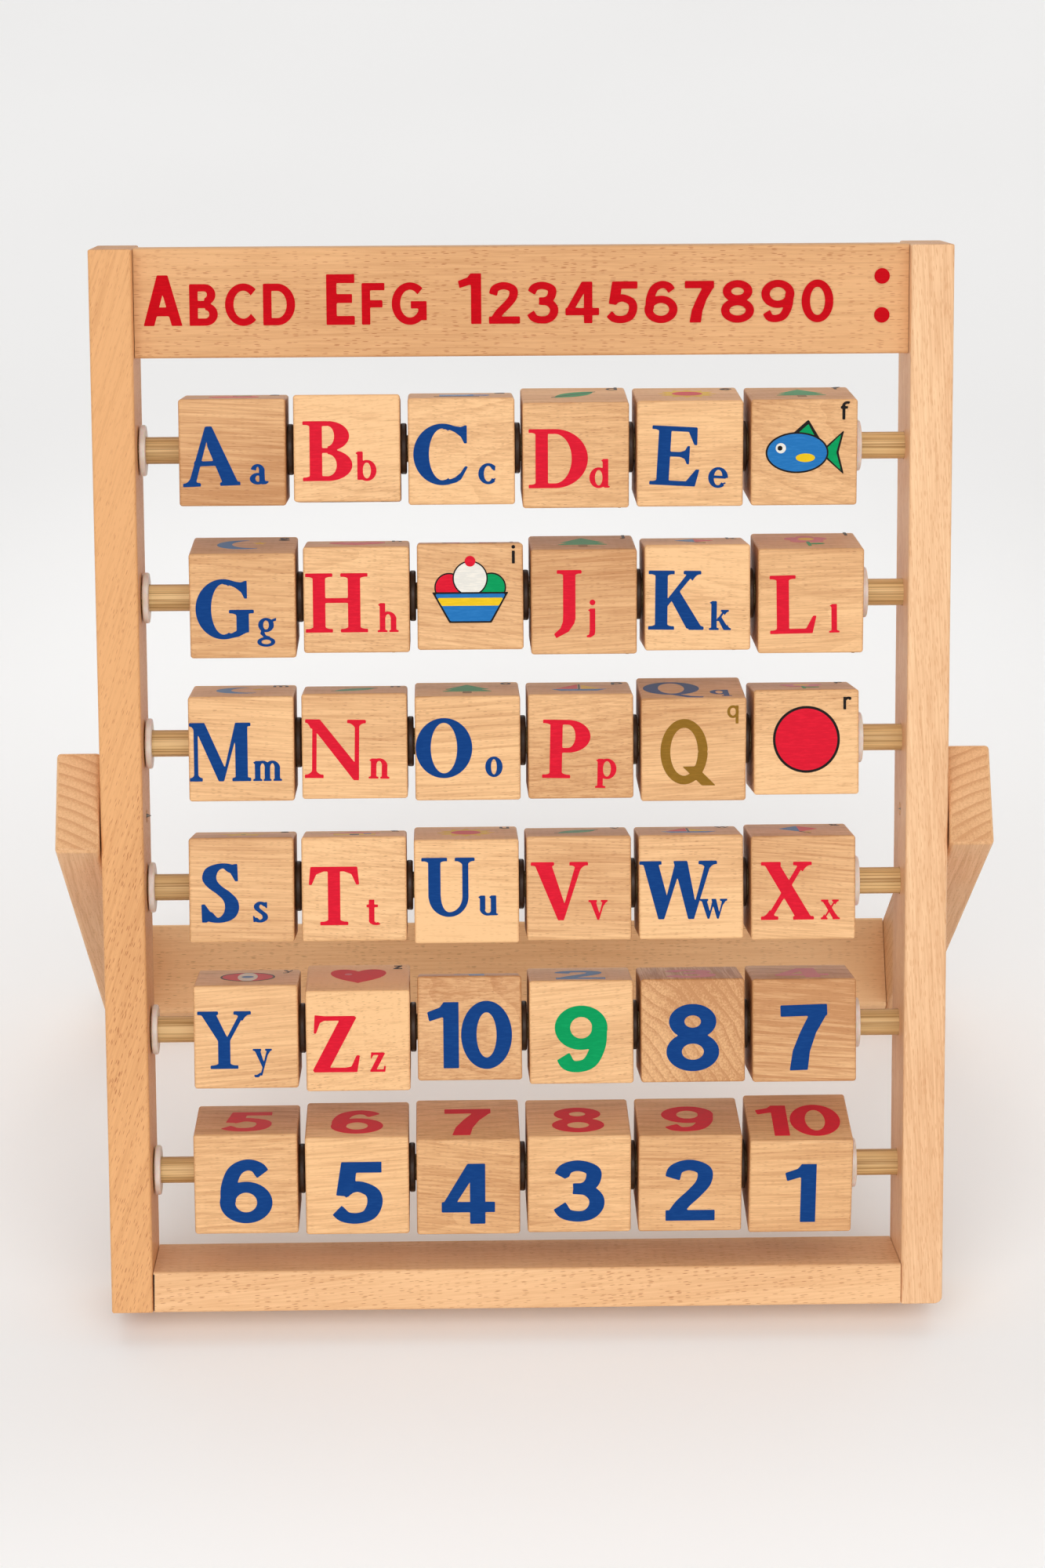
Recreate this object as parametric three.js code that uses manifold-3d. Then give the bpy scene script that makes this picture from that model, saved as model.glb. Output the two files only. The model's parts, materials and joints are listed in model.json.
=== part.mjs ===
// An alphabet rack: rows of blocks that turn and slide on dowels in a beech frame, with a fold-out stand.
// Millimetres, +Z up. In the rack's own frame x runs to the right, y to the back and z up the stiles,
// from the middle of the front bottom edge. The whole rack then leans back on its stand.
import * as THREE from "three";
import { RoundedBoxGeometry } from "three/addons/geometries/RoundedBoxGeometry.js";
import { mergeVertices } from "three/addons/utils/BufferGeometryUtils.js";
import Module from "manifold-3d";

const wasm = await Module();
wasm.setup();

// Blocks
const BLOCK_SIZE = 37.2;
const BLOCK_EDGE = 1.2; // radius of a block's edges
const BORE_CLEARANCE = 0.5; // radial, between a block's bore and its dowel

// Dowels and the washers on them
const DOWEL_DIAMETER = 9.5;
const DOWEL_SEAT = 10; // depth of a dowel's blind hole in a stile
const WASHER_DIAMETER = 18;
const WASHER_THICK = 2.2;
const WASHER_RIM = 0.5; // bevel round a washer's rim
const WASHER_PLAY = 0.5; // free space left beside each washer

// Room for the rows to slide and turn
const ROW_TRAVEL = 28; // how far a row can slide in all
const ROW_CLEARANCE = 0.65; // between the turning circles of neighbouring rows
const RAIL_CLEARANCE = 7.3; // between a turning circle and the rail above or below it

// Frame
const STILE_THICK = 15;
const STILE_DEPTH = 38;
const STILE_EDGE = 1.2; // rounding of the long edges
const STILE_END_EDGE = 0.5; // easing round the sawn ends
const STILE_CORNER = 0.8; // corners of a stile seen from the front
const WORN_CORNER = 3; // the outer foot of the right stile is sanded rounder
const TOP_RAIL_HEIGHT = 38;
const TOP_RAIL_THICK = 15;
const TOP_RAIL_SETBACK = 6; // behind the fronts of the stiles
const BOTTOM_RAIL_HEIGHT = 15;
const RAIL_EDGE = 1.2;

// Fold-out stand
const STAND_ANGLE = 62.4; // degrees between the open legs and the stiles
const LEG_THICK = 15.5;
const LEG_DEPTH = 37;
const LEG_HEAD = 16.5; // length of leg beyond its pivot
const LEG_EDGE = 1.5;
const LEG_GAP = 0.5; // between a leg and its stile
const CROSS_RAIL_THICK = 15;
const CROSS_RAIL_EDGE = 1.5;
const FOLD_CLEARANCE = 2; // between the cross rail and the corners of the frame as it swings past

// Pivot screws
const SCREW_SHANK = 4.5;
const SCREW_HEAD = 9;
const SCREW_HEAD_DEPTH = 2.6;
const SCREW_LENGTH = 31.3;
const SCREW_POINT = 5; // length of the tapered point
const SCREW_SLOT_LENGTH = 4.4;
const SCREW_SLOT_WIDTH = 1;
const SCREW_SLOT_DEPTH = 1.3;
const LEFT_SCREW_SINK = 1.4; // how deep the head is driven below the leg's outer face
const RIGHT_SCREW_SINK = 0.3;

// Fits and facets
const GLUE_LINE = 0.2; // between pieces that are glued together
const HOLE_FIT = 0.3; // radial, round a dowel or a screw in its hole
const OVERCUT = 1; // how far a cutter runs past the face it opens
const ROUND_SIDES = 12;
const WASHER_SIDES = 16;

// Each row from the top: how far it has been pushed along its dowel, and its blocks from the left with
// the turn in degrees that each was left at. A positive turn tips a block's top to the front.
const ROWS = [
  { shift: -1.6, blocks: [["a", -2], ["b", -6], ["c", -1.5], ["d", 4], ["e", 3], ["f", 2.5]] },
  { shift: 1.1, blocks: [["g", 3], ["h", -3], ["i", -5.5], ["j", 1.5], ["k", -2.5], ["l", 2.5]] },
  { shift: -0.2, blocks: [["m", -2], ["n", -4], ["o", -0.5], ["p", -1.5], ["q", 3.5], ["r", -4]] },
  { shift: -1, blocks: [["s", -7], ["t", -7], ["u", -3], ["v", -5.5], ["w", -5.5], ["x", -3.5]] },
  { shift: -0.3, blocks: [["y", -3.5], ["z", 2.5], ["10", -11], ["9", -5], ["8", -5.5], ["7", -4.5]] },
  { shift: -1.2, blocks: [["6", 2.5], ["5", 6], ["4", 9], ["3", 7], ["2", 7.5], ["1", 13]] },
];

// Sizes that follow from these
const radians = THREE.MathUtils.degToRad;
const dowelRadius = DOWEL_DIAMETER / 2;
const boreRadius = dowelRadius + BORE_CLEARANCE;
const blockPitch = BLOCK_SIZE + WASHER_THICK + WASHER_PLAY;
const rowLength = ROWS[0].blocks.length * blockPitch; // from its first block to the face of its end washer
const innerWidth = WASHER_PLAY + WASHER_THICK + ROW_TRAVEL + rowLength;
const rackWidth = innerWidth + 2 * STILE_THICK;
const rowStart = -innerWidth / 2 + WASHER_PLAY + WASHER_THICK + ROW_TRAVEL / 2; // its first block's left face
const turningRadius = (BLOCK_SIZE / 2 - BLOCK_EDGE) * Math.SQRT2 + BLOCK_EDGE;
const rowPitch = 2 * turningRadius + ROW_CLEARANCE;
const lowestRow = BOTTOM_RAIL_HEIGHT + RAIL_CLEARANCE + turningRadius;
const highestRow = lowestRow + (ROWS.length - 1) * rowPitch;
const rackHeight = highestRow + turningRadius + RAIL_CLEARANCE + TOP_RAIL_HEIGHT;
const axisDepth = STILE_DEPTH / 2; // of the dowels and the pivots, behind the stile fronts
const pivotHeight = (lowestRow + highestRow) / 2;
const farCorner = Math.hypot(Math.max(pivotHeight, rackHeight - pivotHeight), axisDepth);
const crossRailReach = farCorner + FOLD_CLEARANCE; // from the pivot to the cross rail
const legReach = crossRailReach + CROSS_RAIL_THICK; // from the pivot to the foot of the leg
const legFace = rackWidth / 2 + LEG_GAP; // inner face of a leg, from the middle of the rack

// Finishes
const finish = (color, roughness, metalness = 0) => () =>
  new THREE.MeshStandardMaterial({ color, roughness, metalness });
const beech = finish(0xe6b382, 0.6);
const blockBeech = finish(0xe9ba8a, 0.6);
const bamboo = finish(0xc8a86c, 0.5);
const nylon = finish(0xdfd2c8, 0.4);
const steel = finish(0x9a9a9c, 0.35, 1);

// A closed geometry as a solid that can be joined and cut.
function solid(geometry) {
  const bare = geometry.clone();
  bare.deleteAttribute("normal");
  bare.deleteAttribute("uv");
  const merged = mergeVertices(bare, 1e-4);
  return new wasm.Manifold(
    new wasm.Mesh({
      numProp: 3,
      vertProperties: merged.attributes.position.array,
      triVerts: new Uint32Array(merged.index.array),
    }),
  );
}

// A solid as a flat-shaded geometry.
function geometryOf(made) {
  const { vertProperties, triVerts } = made.getMesh();
  const indexed = new THREE.BufferGeometry();
  indexed.setAttribute("position", new THREE.BufferAttribute(vertProperties, 3));
  indexed.setIndex(new THREE.BufferAttribute(triVerts, 1));
  const flat = indexed.toNonIndexed();
  flat.computeVertexNormals();
  return flat;
}

// Adds one named sub-part to the group that carries it.
function place(group, name, geometry, material, x = 0, y = 0, z = 0) {
  const mesh = new THREE.Mesh(geometry, material());
  mesh.name = name;
  mesh.position.set(x, y, z);
  group.add(mesh);
  return mesh;
}

// A rectangle about the origin with a radius for each corner, anticlockwise from the lower left.
function roundedRectangle(width, height, [lowerLeft, lowerRight, upperRight, upperLeft]) {
  const x = width / 2;
  const y = height / 2;
  const quarter = Math.PI / 2;
  const shape = new THREE.Shape();
  shape.absarc(-x + lowerLeft, -y + lowerLeft, lowerLeft, 2 * quarter, 3 * quarter);
  shape.absarc(x - lowerRight, -y + lowerRight, lowerRight, 3 * quarter, 4 * quarter);
  shape.absarc(x - upperRight, y - upperRight, upperRight, 0, quarter);
  shape.absarc(-x + upperLeft, y - upperLeft, upperLeft, quarter, 2 * quarter);
  return shape;
}

// A round bar along x between two values of x.
function bar(radius, from, to) {
  const geometry = new THREE.CylinderGeometry(radius, radius, to - from, ROUND_SIDES);
  return geometry.rotateZ(Math.PI / 2).translate((from + to) / 2, 0, 0);
}

// A turned piece along x: its profile runs in [radius, x] from one end of the axis to the other.
function turned(profile, sides) {
  const points = profile.map(([radius, along]) => new THREE.Vector2(radius, along));
  return new THREE.LatheGeometry(points, sides).rotateZ(-Math.PI / 2);
}

// A planed rail along x, with rounded long edges and square ends.
function rail(length, depth, height, edge) {
  const shape = roundedRectangle(height, depth, [edge, edge, edge, edge]);
  const geometry = new THREE.ExtrudeGeometry(shape, { depth: length, bevelEnabled: false, curveSegments: 3 });
  return geometry.translate(0, 0, -length / 2).rotateY(Math.PI / 2);
}

// A disc along x from 0 to its thickness, with a bevelled rim.
function disc(thick) {
  const radius = WASHER_DIAMETER / 2;
  const face = radius - WASHER_RIM;
  const profile = [
    [0, 0],
    [face, 0],
    [radius, WASHER_RIM],
    [radius, thick - WASHER_RIM],
    [face, thick],
    [0, thick],
  ];
  return turned(profile, WASHER_SIDES);
}

// A loose washer, with the bore that the blocks have.
function washer() {
  const bore = bar(boreRadius, -OVERCUT, WASHER_THICK + OVERCUT);
  return geometryOf(solid(disc(WASHER_THICK)).subtract(solid(bore)));
}

// A block bored through for its dowel. Where another block follows, it carries the washer between them.
function block(carriesWasher) {
  const half = BLOCK_SIZE / 2;
  let made = solid(new RoundedBoxGeometry(BLOCK_SIZE, BLOCK_SIZE, BLOCK_SIZE, 1, BLOCK_EDGE));
  if (carriesWasher) {
    const seated = disc(WASHER_RIM + WASHER_THICK).translate(half - WASHER_RIM, 0, 0);
    made = made.add(solid(seated));
  }
  const bore = bar(boreRadius, -half - OVERCUT, half + WASHER_THICK + OVERCUT);
  return geometryOf(made.subtract(solid(bore)));
}

// A dowel that reaches into both stiles and carries the washer that lies against the left one.
function dowel() {
  const half = innerWidth / 2 + DOWEL_SEAT - HOLE_FIT;
  const stop = disc(WASHER_THICK).translate(-innerWidth / 2 + WASHER_PLAY, 0, 0);
  return geometryOf(solid(bar(dowelRadius, -half, half)).add(solid(stop)));
}

// A countersunk screw along x, with the top of its cross-slotted head at 0 and its point towards -x.
function screw() {
  const shank = SCREW_SHANK / 2;
  const profile = [
    [0, -SCREW_LENGTH],
    [shank, SCREW_POINT - SCREW_LENGTH],
    [shank, -SCREW_HEAD_DEPTH],
    [SCREW_HEAD / 2, 0],
    [0, 0],
  ];
  const slotHeight = SCREW_SLOT_DEPTH + OVERCUT;
  const slot = new THREE.BoxGeometry(slotHeight, SCREW_SLOT_LENGTH, SCREW_SLOT_WIDTH);
  slot.translate(slotHeight / 2 - SCREW_SLOT_DEPTH, 0, 0);
  const crossSlot = solid(slot).add(solid(slot.clone().rotateX(Math.PI / 2)));
  return geometryOf(solid(turned(profile, ROUND_SIDES)).subtract(crossSlot));
}

// The countersunk hole that such a screw runs in, open past its head and its point.
function screwHole(sink) {
  const shank = SCREW_SHANK / 2 + HOLE_FIT;
  const head = SCREW_HEAD / 2 + HOLE_FIT;
  const profile = [
    [0, -SCREW_LENGTH - OVERCUT],
    [shank, -SCREW_LENGTH - OVERCUT],
    [shank, -SCREW_HEAD_DEPTH],
    [head, 0],
    [head, sink + OVERCUT],
    [0, sink + OVERCUT],
  ];
  return turned(profile, ROUND_SIDES);
}

// The two sides of the rack. A piece is made for the right side, and half a turn about z makes its left twin.
const SIDES = [
  { name: "left", outward: -1, sink: LEFT_SCREW_SINK, footCorner: STILE_CORNER },
  { name: "right", outward: 1, sink: RIGHT_SCREW_SINK, footCorner: WORN_CORNER },
];
const stileMiddle = (rackWidth - STILE_THICK) / 2;
const legMiddle = legFace + LEG_THICK / 2;
const screwTop = (side) => legFace + LEG_THICK - side.sink;

// Adds a piece made for the right side, turned round where it belongs on the left.
function placeOnSide(group, kind, geometry, material, side, x, y = 0, z = 0) {
  const mesh = place(group, `${kind}_${side.name}`, geometry, material, side.outward * x, y, z);
  if (side.outward < 0) mesh.rotation.z = Math.PI;
}

// A right-hand stile about its own middle in x and y, standing on z = 0, with blind holes for the dowels
// on its inner face and a hole for the pivot screw.
function stile(side) {
  const corners = [STILE_CORNER, side.footCorner, STILE_CORNER, STILE_CORNER];
  const outline = new THREE.ExtrudeGeometry(roundedRectangle(STILE_THICK, rackHeight, corners), {
    depth: STILE_DEPTH - 2 * STILE_END_EDGE,
    bevelThickness: STILE_END_EDGE,
    bevelSize: STILE_END_EDGE,
    bevelOffset: -STILE_END_EDGE,
    bevelSegments: 2,
    curveSegments: 3,
  });
  outline.rotateX(Math.PI / 2).translate(0, STILE_DEPTH / 2 - STILE_END_EDGE, rackHeight / 2);
  const planed = rail(rackHeight + 2 * OVERCUT, STILE_DEPTH, STILE_THICK, STILE_EDGE);
  planed.rotateY(Math.PI / 2).translate(0, 0, rackHeight / 2);
  let made = solid(planed).intersect(solid(outline));
  const innerFace = -STILE_THICK / 2;
  for (let row = 0; row < ROWS.length; row++) {
    const seat = bar(dowelRadius + HOLE_FIT, innerFace - OVERCUT, innerFace + DOWEL_SEAT);
    made = made.subtract(solid(seat.translate(0, 0, lowestRow + row * rowPitch)));
  }
  const pivot = screwHole(side.sink).translate(screwTop(side) - stileMiddle, 0, pivotHeight);
  return geometryOf(made.subtract(solid(pivot)));
}

// A right-hand leg about its own middle in x and y, hanging straight down from its pivot at z = 0.
function leg(side) {
  const geometry = new RoundedBoxGeometry(LEG_THICK, LEG_DEPTH, LEG_HEAD + legReach, 2, LEG_EDGE);
  geometry.translate(0, 0, (LEG_HEAD - legReach) / 2);
  const pivot = screwHole(side.sink).translate(screwTop(side) - legMiddle, 0, 0);
  return geometryOf(solid(geometry).subtract(solid(pivot)));
}

// Stiles, rails and pivot screws.
function addFrame(rack) {
  const railLength = innerWidth - 2 * GLUE_LINE;
  const topRail = rail(railLength, TOP_RAIL_THICK, TOP_RAIL_HEIGHT, RAIL_EDGE);
  const bottomRail = rail(railLength, STILE_DEPTH, BOTTOM_RAIL_HEIGHT, RAIL_EDGE);
  const topRailDepth = TOP_RAIL_SETBACK + TOP_RAIL_THICK / 2;
  place(rack, "top_rail", topRail, beech, 0, topRailDepth, rackHeight - TOP_RAIL_HEIGHT / 2);
  place(rack, "bottom_rail", bottomRail, beech, 0, axisDepth, BOTTOM_RAIL_HEIGHT / 2);
  for (const side of SIDES) {
    placeOnSide(rack, "stile", stile(side), beech, side, stileMiddle, axisDepth);
    placeOnSide(rack, "pivot_screw", screw(), steel, side, screwTop(side), axisDepth, pivotHeight);
  }
}

// One row: its dowel in the frame, and on it the blocks and the end washer that slide together.
function addRow(rack, { shift, blocks }, number) {
  const height = highestRow - (number - 1) * rowPitch;
  place(rack, `dowel_${number}`, dowel(), bamboo, 0, axisDepth, height);
  const train = new THREE.Group();
  train.position.set(rowStart + shift, axisDepth, height);
  blocks.forEach(([name, turn], index) => {
    const shape = block(index < blocks.length - 1);
    const mesh = place(train, `block_${name}`, shape, blockBeech, index * blockPitch + BLOCK_SIZE / 2);
    mesh.rotation.x = radians(turn);
  });
  place(train, `end_washer_${number}`, washer(), nylon, rowLength - WASHER_THICK);
  rack.add(train);
}

// The stand: two legs and their cross rail, swung out from the stiles about the pivots.
function addStand(rack) {
  const stand = new THREE.Group();
  stand.position.set(0, axisDepth, pivotHeight);
  stand.rotation.x = radians(STAND_ANGLE);
  for (const side of SIDES) placeOnSide(stand, "leg", leg(side), beech, side, legMiddle);
  const crossRail = rail(2 * (legFace - GLUE_LINE), LEG_DEPTH, CROSS_RAIL_THICK, CROSS_RAIL_EDGE);
  place(stand, "cross_rail", crossRail, beech, 0, 0, -crossRailReach - CROSS_RAIL_THICK / 2);
  rack.add(stand);
}

// The rack leans back until the rounded back edge of the stiles' feet and the rounded lower edge of the
// legs' feet both touch the floor: the floor is the line that touches both roundings from below.
function leanAngle() {
  const opened = radians(STAND_ANGLE);
  const along = legReach - LEG_EDGE;
  const across = LEG_EDGE - LEG_DEPTH / 2;
  const legFoot = new THREE.Vector2(
    axisDepth + along * Math.sin(opened) + across * Math.cos(opened),
    pivotHeight - along * Math.cos(opened) + across * Math.sin(opened),
  );
  const apart = legFoot.sub(new THREE.Vector2(STILE_DEPTH - STILE_END_EDGE, STILE_END_EDGE));
  return apart.angle() - Math.asin((LEG_EDGE - STILE_END_EDGE) / apart.length());
}

// The rack stands on z = 0 with the middle of its plan on the origin.
const rack = new THREE.Group();
addFrame(rack);
ROWS.forEach((row, index) => addRow(rack, row, index + 1));
addStand(rack);
rack.rotation.x = -leanAngle();

const alphabetRack = new THREE.Group();
alphabetRack.add(rack);
const standing = new THREE.Box3().setFromObject(alphabetRack, true);
const middle = standing.getCenter(new THREE.Vector3());
rack.position.set(-middle.x, -middle.y, -standing.min.z);

export default alphabetRack;
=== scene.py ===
"""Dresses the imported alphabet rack: beech frame and stand, printed blocks, bamboo dowels, nylon washers."""
import json
import logging
import math
from dataclasses import KW_ONLY, dataclass, field
from enum import Enum

import bpy
import numpy as np
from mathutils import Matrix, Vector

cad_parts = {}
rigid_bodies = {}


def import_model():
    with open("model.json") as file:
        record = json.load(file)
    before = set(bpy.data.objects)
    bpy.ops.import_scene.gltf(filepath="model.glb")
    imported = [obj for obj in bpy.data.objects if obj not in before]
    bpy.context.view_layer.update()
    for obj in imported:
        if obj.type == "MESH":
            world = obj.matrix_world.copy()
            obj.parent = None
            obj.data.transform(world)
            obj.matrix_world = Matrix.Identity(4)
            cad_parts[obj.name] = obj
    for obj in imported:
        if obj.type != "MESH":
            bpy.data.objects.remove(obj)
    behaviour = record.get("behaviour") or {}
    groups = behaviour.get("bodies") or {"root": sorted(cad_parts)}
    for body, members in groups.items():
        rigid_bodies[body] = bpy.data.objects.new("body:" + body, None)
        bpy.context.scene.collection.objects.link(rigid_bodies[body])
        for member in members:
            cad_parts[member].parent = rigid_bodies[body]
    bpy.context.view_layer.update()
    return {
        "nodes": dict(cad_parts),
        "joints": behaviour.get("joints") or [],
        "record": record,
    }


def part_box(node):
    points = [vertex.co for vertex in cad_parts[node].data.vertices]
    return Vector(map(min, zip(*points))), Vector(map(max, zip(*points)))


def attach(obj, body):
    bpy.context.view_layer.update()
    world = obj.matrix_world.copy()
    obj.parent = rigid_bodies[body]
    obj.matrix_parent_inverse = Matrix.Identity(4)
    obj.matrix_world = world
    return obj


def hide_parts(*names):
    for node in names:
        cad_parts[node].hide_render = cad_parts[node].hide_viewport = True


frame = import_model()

MM = 0.001
LOG = logging.getLogger("alphabet_rack")

Array = np.ndarray
Colour = tuple[int, int, int]
Spot = tuple[float, float]
Triple = tuple[float, float, float]
Material = bpy.types.Material
Tree = bpy.types.NodeTree
Socket = bpy.types.NodeSocket
Value = Socket | float


class Ink(Enum):
    """The printing inks, each with its colour as seen (sRGB, 0 to 255)."""

    BLUE = (15, 64, 132)
    RED = (226, 28, 52)
    TITLE = (204, 6, 22)
    GREEN = (8, 158, 92)
    GOLD = (148, 108, 38)
    BLACK = (34, 30, 30)
    YELLOW = (244, 202, 36)
    WHITE = (240, 236, 226)
    SKY = (40, 120, 190)
    PINK = (222, 120, 132)


class Slot(Enum):
    """The record's finishes, by name."""

    FRAME_WOOD = "frame_wood"
    BLOCK_WOOD = "block_wood"
    BAMBOO = "bamboo"
    WASHER = "washer_plastic"


class Turn(Enum):
    """Ways to turn, as the axis that moves and the axis that it moves towards."""

    Y_TO_Z = (1, 2)
    X_TO_Z = (0, 2)
    X_TO_Y = (0, 1)


class Align(Enum):
    """Which part of a letter's box stands at its anchor, counted from the left edge."""

    LEFT = 0.0
    MIDDLE = 0.5
    RIGHT = 1.0


class Face(Enum):
    """The four printed sides of a block, as quarter turns from the front."""

    FRONT = 0
    TOP = 1
    BACK = 2
    BOTTOM = 3


class Stroke(Enum):
    """The kinds of stroke, as a letter's row names them. The pen's method of the same name draws each."""

    UPRIGHT = "v"
    LEVEL = "h"
    SLANT = "d"
    DOT = "o"
    BOW = "a"
    CURVE = "c"
    PATCH = "p"
    TRIM = "P"
    FOOT = "s"
    HEAD = "S"


# Shapes as whole arrays


def turned(points: Array, way: Turn, angle: float) -> Array:
    """Turns points from one axis towards another.

    Along the two axes a point (p, q) becomes (p cos - q sin, p sin + q cos).

    Args:
        points: Rows of x, y, z.
        way: The two axes.
        angle: The turn in radians.

    Returns:
        The turned rows.
    """
    moved, towards = way.value
    matrix = np.eye(3)
    matrix[moved, moved] = matrix[towards, towards] = math.cos(angle)
    matrix[moved, towards] = math.sin(angle)
    matrix[towards, moved] = -math.sin(angle)
    return points @ matrix


def node_points(name: str) -> Array:
    """Reads a CAD node's vertices.

    Args:
        name: The node.

    Returns:
        Rows of x, y, z in metres.
    """
    mesh = frame["nodes"][name].data
    flat = np.empty(len(mesh.vertices) * 3)
    mesh.vertices.foreach_get("co", flat)
    return flat.reshape(-1, 3)


def square_turn(name: str) -> float:
    """Reads how far a square node is turned about x at rest.

    The turn is a quarter of the angle of the area-weighted mean of exp(4i * face angle).

    Args:
        name: A CAD node with four long flat faces round the x axis.

    Returns:
        The turn in radians, within an eighth of a turn either way.
    """
    side_limit = 0.05
    mesh = frame["nodes"][name].data
    normal = np.empty(len(mesh.polygons) * 3)
    area = np.empty(len(mesh.polygons))
    mesh.polygons.foreach_get("normal", normal)
    mesh.polygons.foreach_get("area", area)
    normal = normal.reshape(-1, 3)
    flat = np.abs(normal[:, 0]) < side_limit
    four = 4 * np.arctan2(normal[flat, 2], normal[flat, 1])
    return math.atan2((area[flat] * np.sin(four)).sum(), (area[flat] * np.cos(four)).sum()) / 4


@dataclass
class Surface:
    """Mesh data worked out as whole arrays, in metres or, before it is seated, in millimetres.

    Attributes:
        points: Rows of x, y, z.
        faces: Lists of rows of vertex numbers, one array for each number of corners.
        normals: A smooth normal for each point, or None for flat faces.
        inks: A material number for each face, in the order of the faces, or None.
        grain: Wood coordinates for each point, or None.
        look: How dark the wood is and how strong its rings are, where it has wood coordinates.
    """

    points: Array
    faces: list[Array]
    normals: Array | None = None
    inks: Array | None = None
    grain: Array | None = None
    look: Spot = (0.0, 0.3)

    def seated(self, angle: float, middle: Array) -> "Surface":
        """Turns a surface in millimetres from y towards z and moves it to its place.

        Args:
            angle: The turn in radians.
            middle: Where its origin goes, in metres.

        Returns:
            The surface in metres.
        """
        normals = None if self.normals is None else turned(self.normals, Turn.Y_TO_Z, angle)
        return Surface(turned(self.points * MM, Turn.Y_TO_Z, angle) + middle, self.faces, normals, self.inks)

    def to_object(self, name: str, materials: list[Material], body: str, slot: Slot) -> bpy.types.Object:
        """Makes the object at the origin and lets it ride on a body.

        Args:
            name: The piece's name.
            materials: Its material slots.
            body: The CAD body that carries it.
            slot: The record's finish; not used.

        Returns:
            The new object.
        """
        mesh = bpy.data.meshes.new(name)
        corners = [row for block in self.faces for row in block.tolist()]
        mesh.from_pydata(self.points.tolist(), [], corners)
        for material in materials:
            mesh.materials.append(material)
        if self.inks is not None:
            mesh.polygons.foreach_set("material_index", self.inks.astype(np.int32))
        if self.grain is not None:
            look = np.tile([*self.look, 0.0], (len(self.points), 1))
            for key, rows in (("grain", self.grain), ("look", look)):
                held = mesh.attributes.new(key, "FLOAT_VECTOR", "POINT")
                held.data.foreach_set("vector", rows.astype(np.float32).ravel())
        mesh.update()
        if self.normals is not None:
            mesh.polygons.foreach_set("use_smooth", np.ones(len(mesh.polygons), bool))
            mesh.normals_split_custom_set_from_vertices(self.normals.tolist())
        piece = bpy.data.objects.new(name, mesh)
        bpy.context.scene.collection.objects.link(piece)
        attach(piece, body)
        LOG.info("%s: %d faces on %s", name, len(mesh.polygons), body)
        return piece


def join(slabs: list[Surface]) -> Surface:
    """Puts several slabs of ink into one.

    Args:
        slabs: Surfaces of squares only, with the inks' numbers.

    Returns:
        One surface with the faces in the same order.
    """
    starts = np.cumsum([0] + [len(slab.points) for slab in slabs[:-1]])
    quads = np.concatenate([slab.faces[0] + start for slab, start in zip(slabs, starts)])
    inks = np.concatenate([slab.inks for slab in slabs])
    return Surface(np.concatenate([slab.points for slab in slabs]), [quads], inks=inks)


def weld(points: Array, quads: Array, normals: Array) -> Surface:
    """Merges points that lie together, and squares that this narrows become triangles or go.

    Args:
        points: Rows of x, y, z.
        quads: Rows of four point numbers.
        normals: A normal for each point.

    Returns:
        The closed surface.
    """
    digits = 9
    _, first, same = np.unique(np.round(points, digits), axis=0, return_index=True, return_inverse=True)
    quads = same.reshape(-1)[quads]
    shut = quads == np.roll(quads, -1, 1)
    once = shut.sum(1) == 1
    tris = [quads[shut[:, j] & once][:, [j, (j + 2) % 4, (j + 3) % 4]] for j in range(4)]
    return Surface(points[first], [quads[~shut.any(1)], np.concatenate(tris)], normals[first])


def grid_quads(rows: int, columns: int, closed: bool = True) -> Array:
    """Numbers the squares of a grid of points that stand row after row.

    A square has the corners (i, k), (i, k + 1), (i + 1, k + 1) and (i + 1, k).

    Args:
        rows: Rows of points.
        columns: Points in a row.
        closed: Whether the last row meets the first, and the last column the first.

    Returns:
        Rows of four point numbers.
    """
    spare = 0 if closed else 1
    i, k = np.meshgrid(np.arange(rows - spare), np.arange(columns - spare), indexing="ij")
    here, there = i * columns, (i + 1) % rows * columns
    after = (k + 1) % columns
    return np.stack([here + k, here + after, there + after, there + k], -1).reshape(-1, 4)


def revolve(profile: Array, slant: Array, sides: int, centre: Array) -> Surface:
    """Carries a closed profile round the x axis.

    A point is centre + (x, r sin a, r cos a), for each profile row (x, r) and each of the equal angles a.

    Args:
        profile: Rows of x and radius in millimetres, going round the section with the solid on their right.
        slant: The normal at each row, as parts along x and outwards.
        sides: Steps round the axis.
        centre: The middle, in metres.

    Returns:
        The closed ring.
    """
    angle = np.arange(sides)[:, None] * 2 * np.pi / sides
    sin, cos = np.sin(angle), np.cos(angle)
    points, normals = (np.stack([np.ones_like(sin) * along, sin * out, cos * out], -1).reshape(-1, 3)
                       for along, out in (profile.T, slant.T))
    return weld(points * MM + centre, grid_quads(sides, len(profile)), normals)


# Shader building

UNIT = (0.0, 1.0)
NOISE_SPAN = (0.3, 0.7)


def linear(seen: Colour | Array) -> tuple[float, float, float, float]:
    """Turns a colour as seen into the linear numbers that shaders take, by the sRGB curve.

    Args:
        seen: Red, green and blue from 0 to 255.

    Returns:
        Linear red, green and blue, and an alpha of 1.
    """
    c = np.asarray(seen, float) / 255.0
    r, g, b = np.where(c <= 0.04045, c / 12.92, ((c + 0.055) / 1.055) ** 2.4)
    return float(r), float(g), float(b), 1.0


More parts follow.
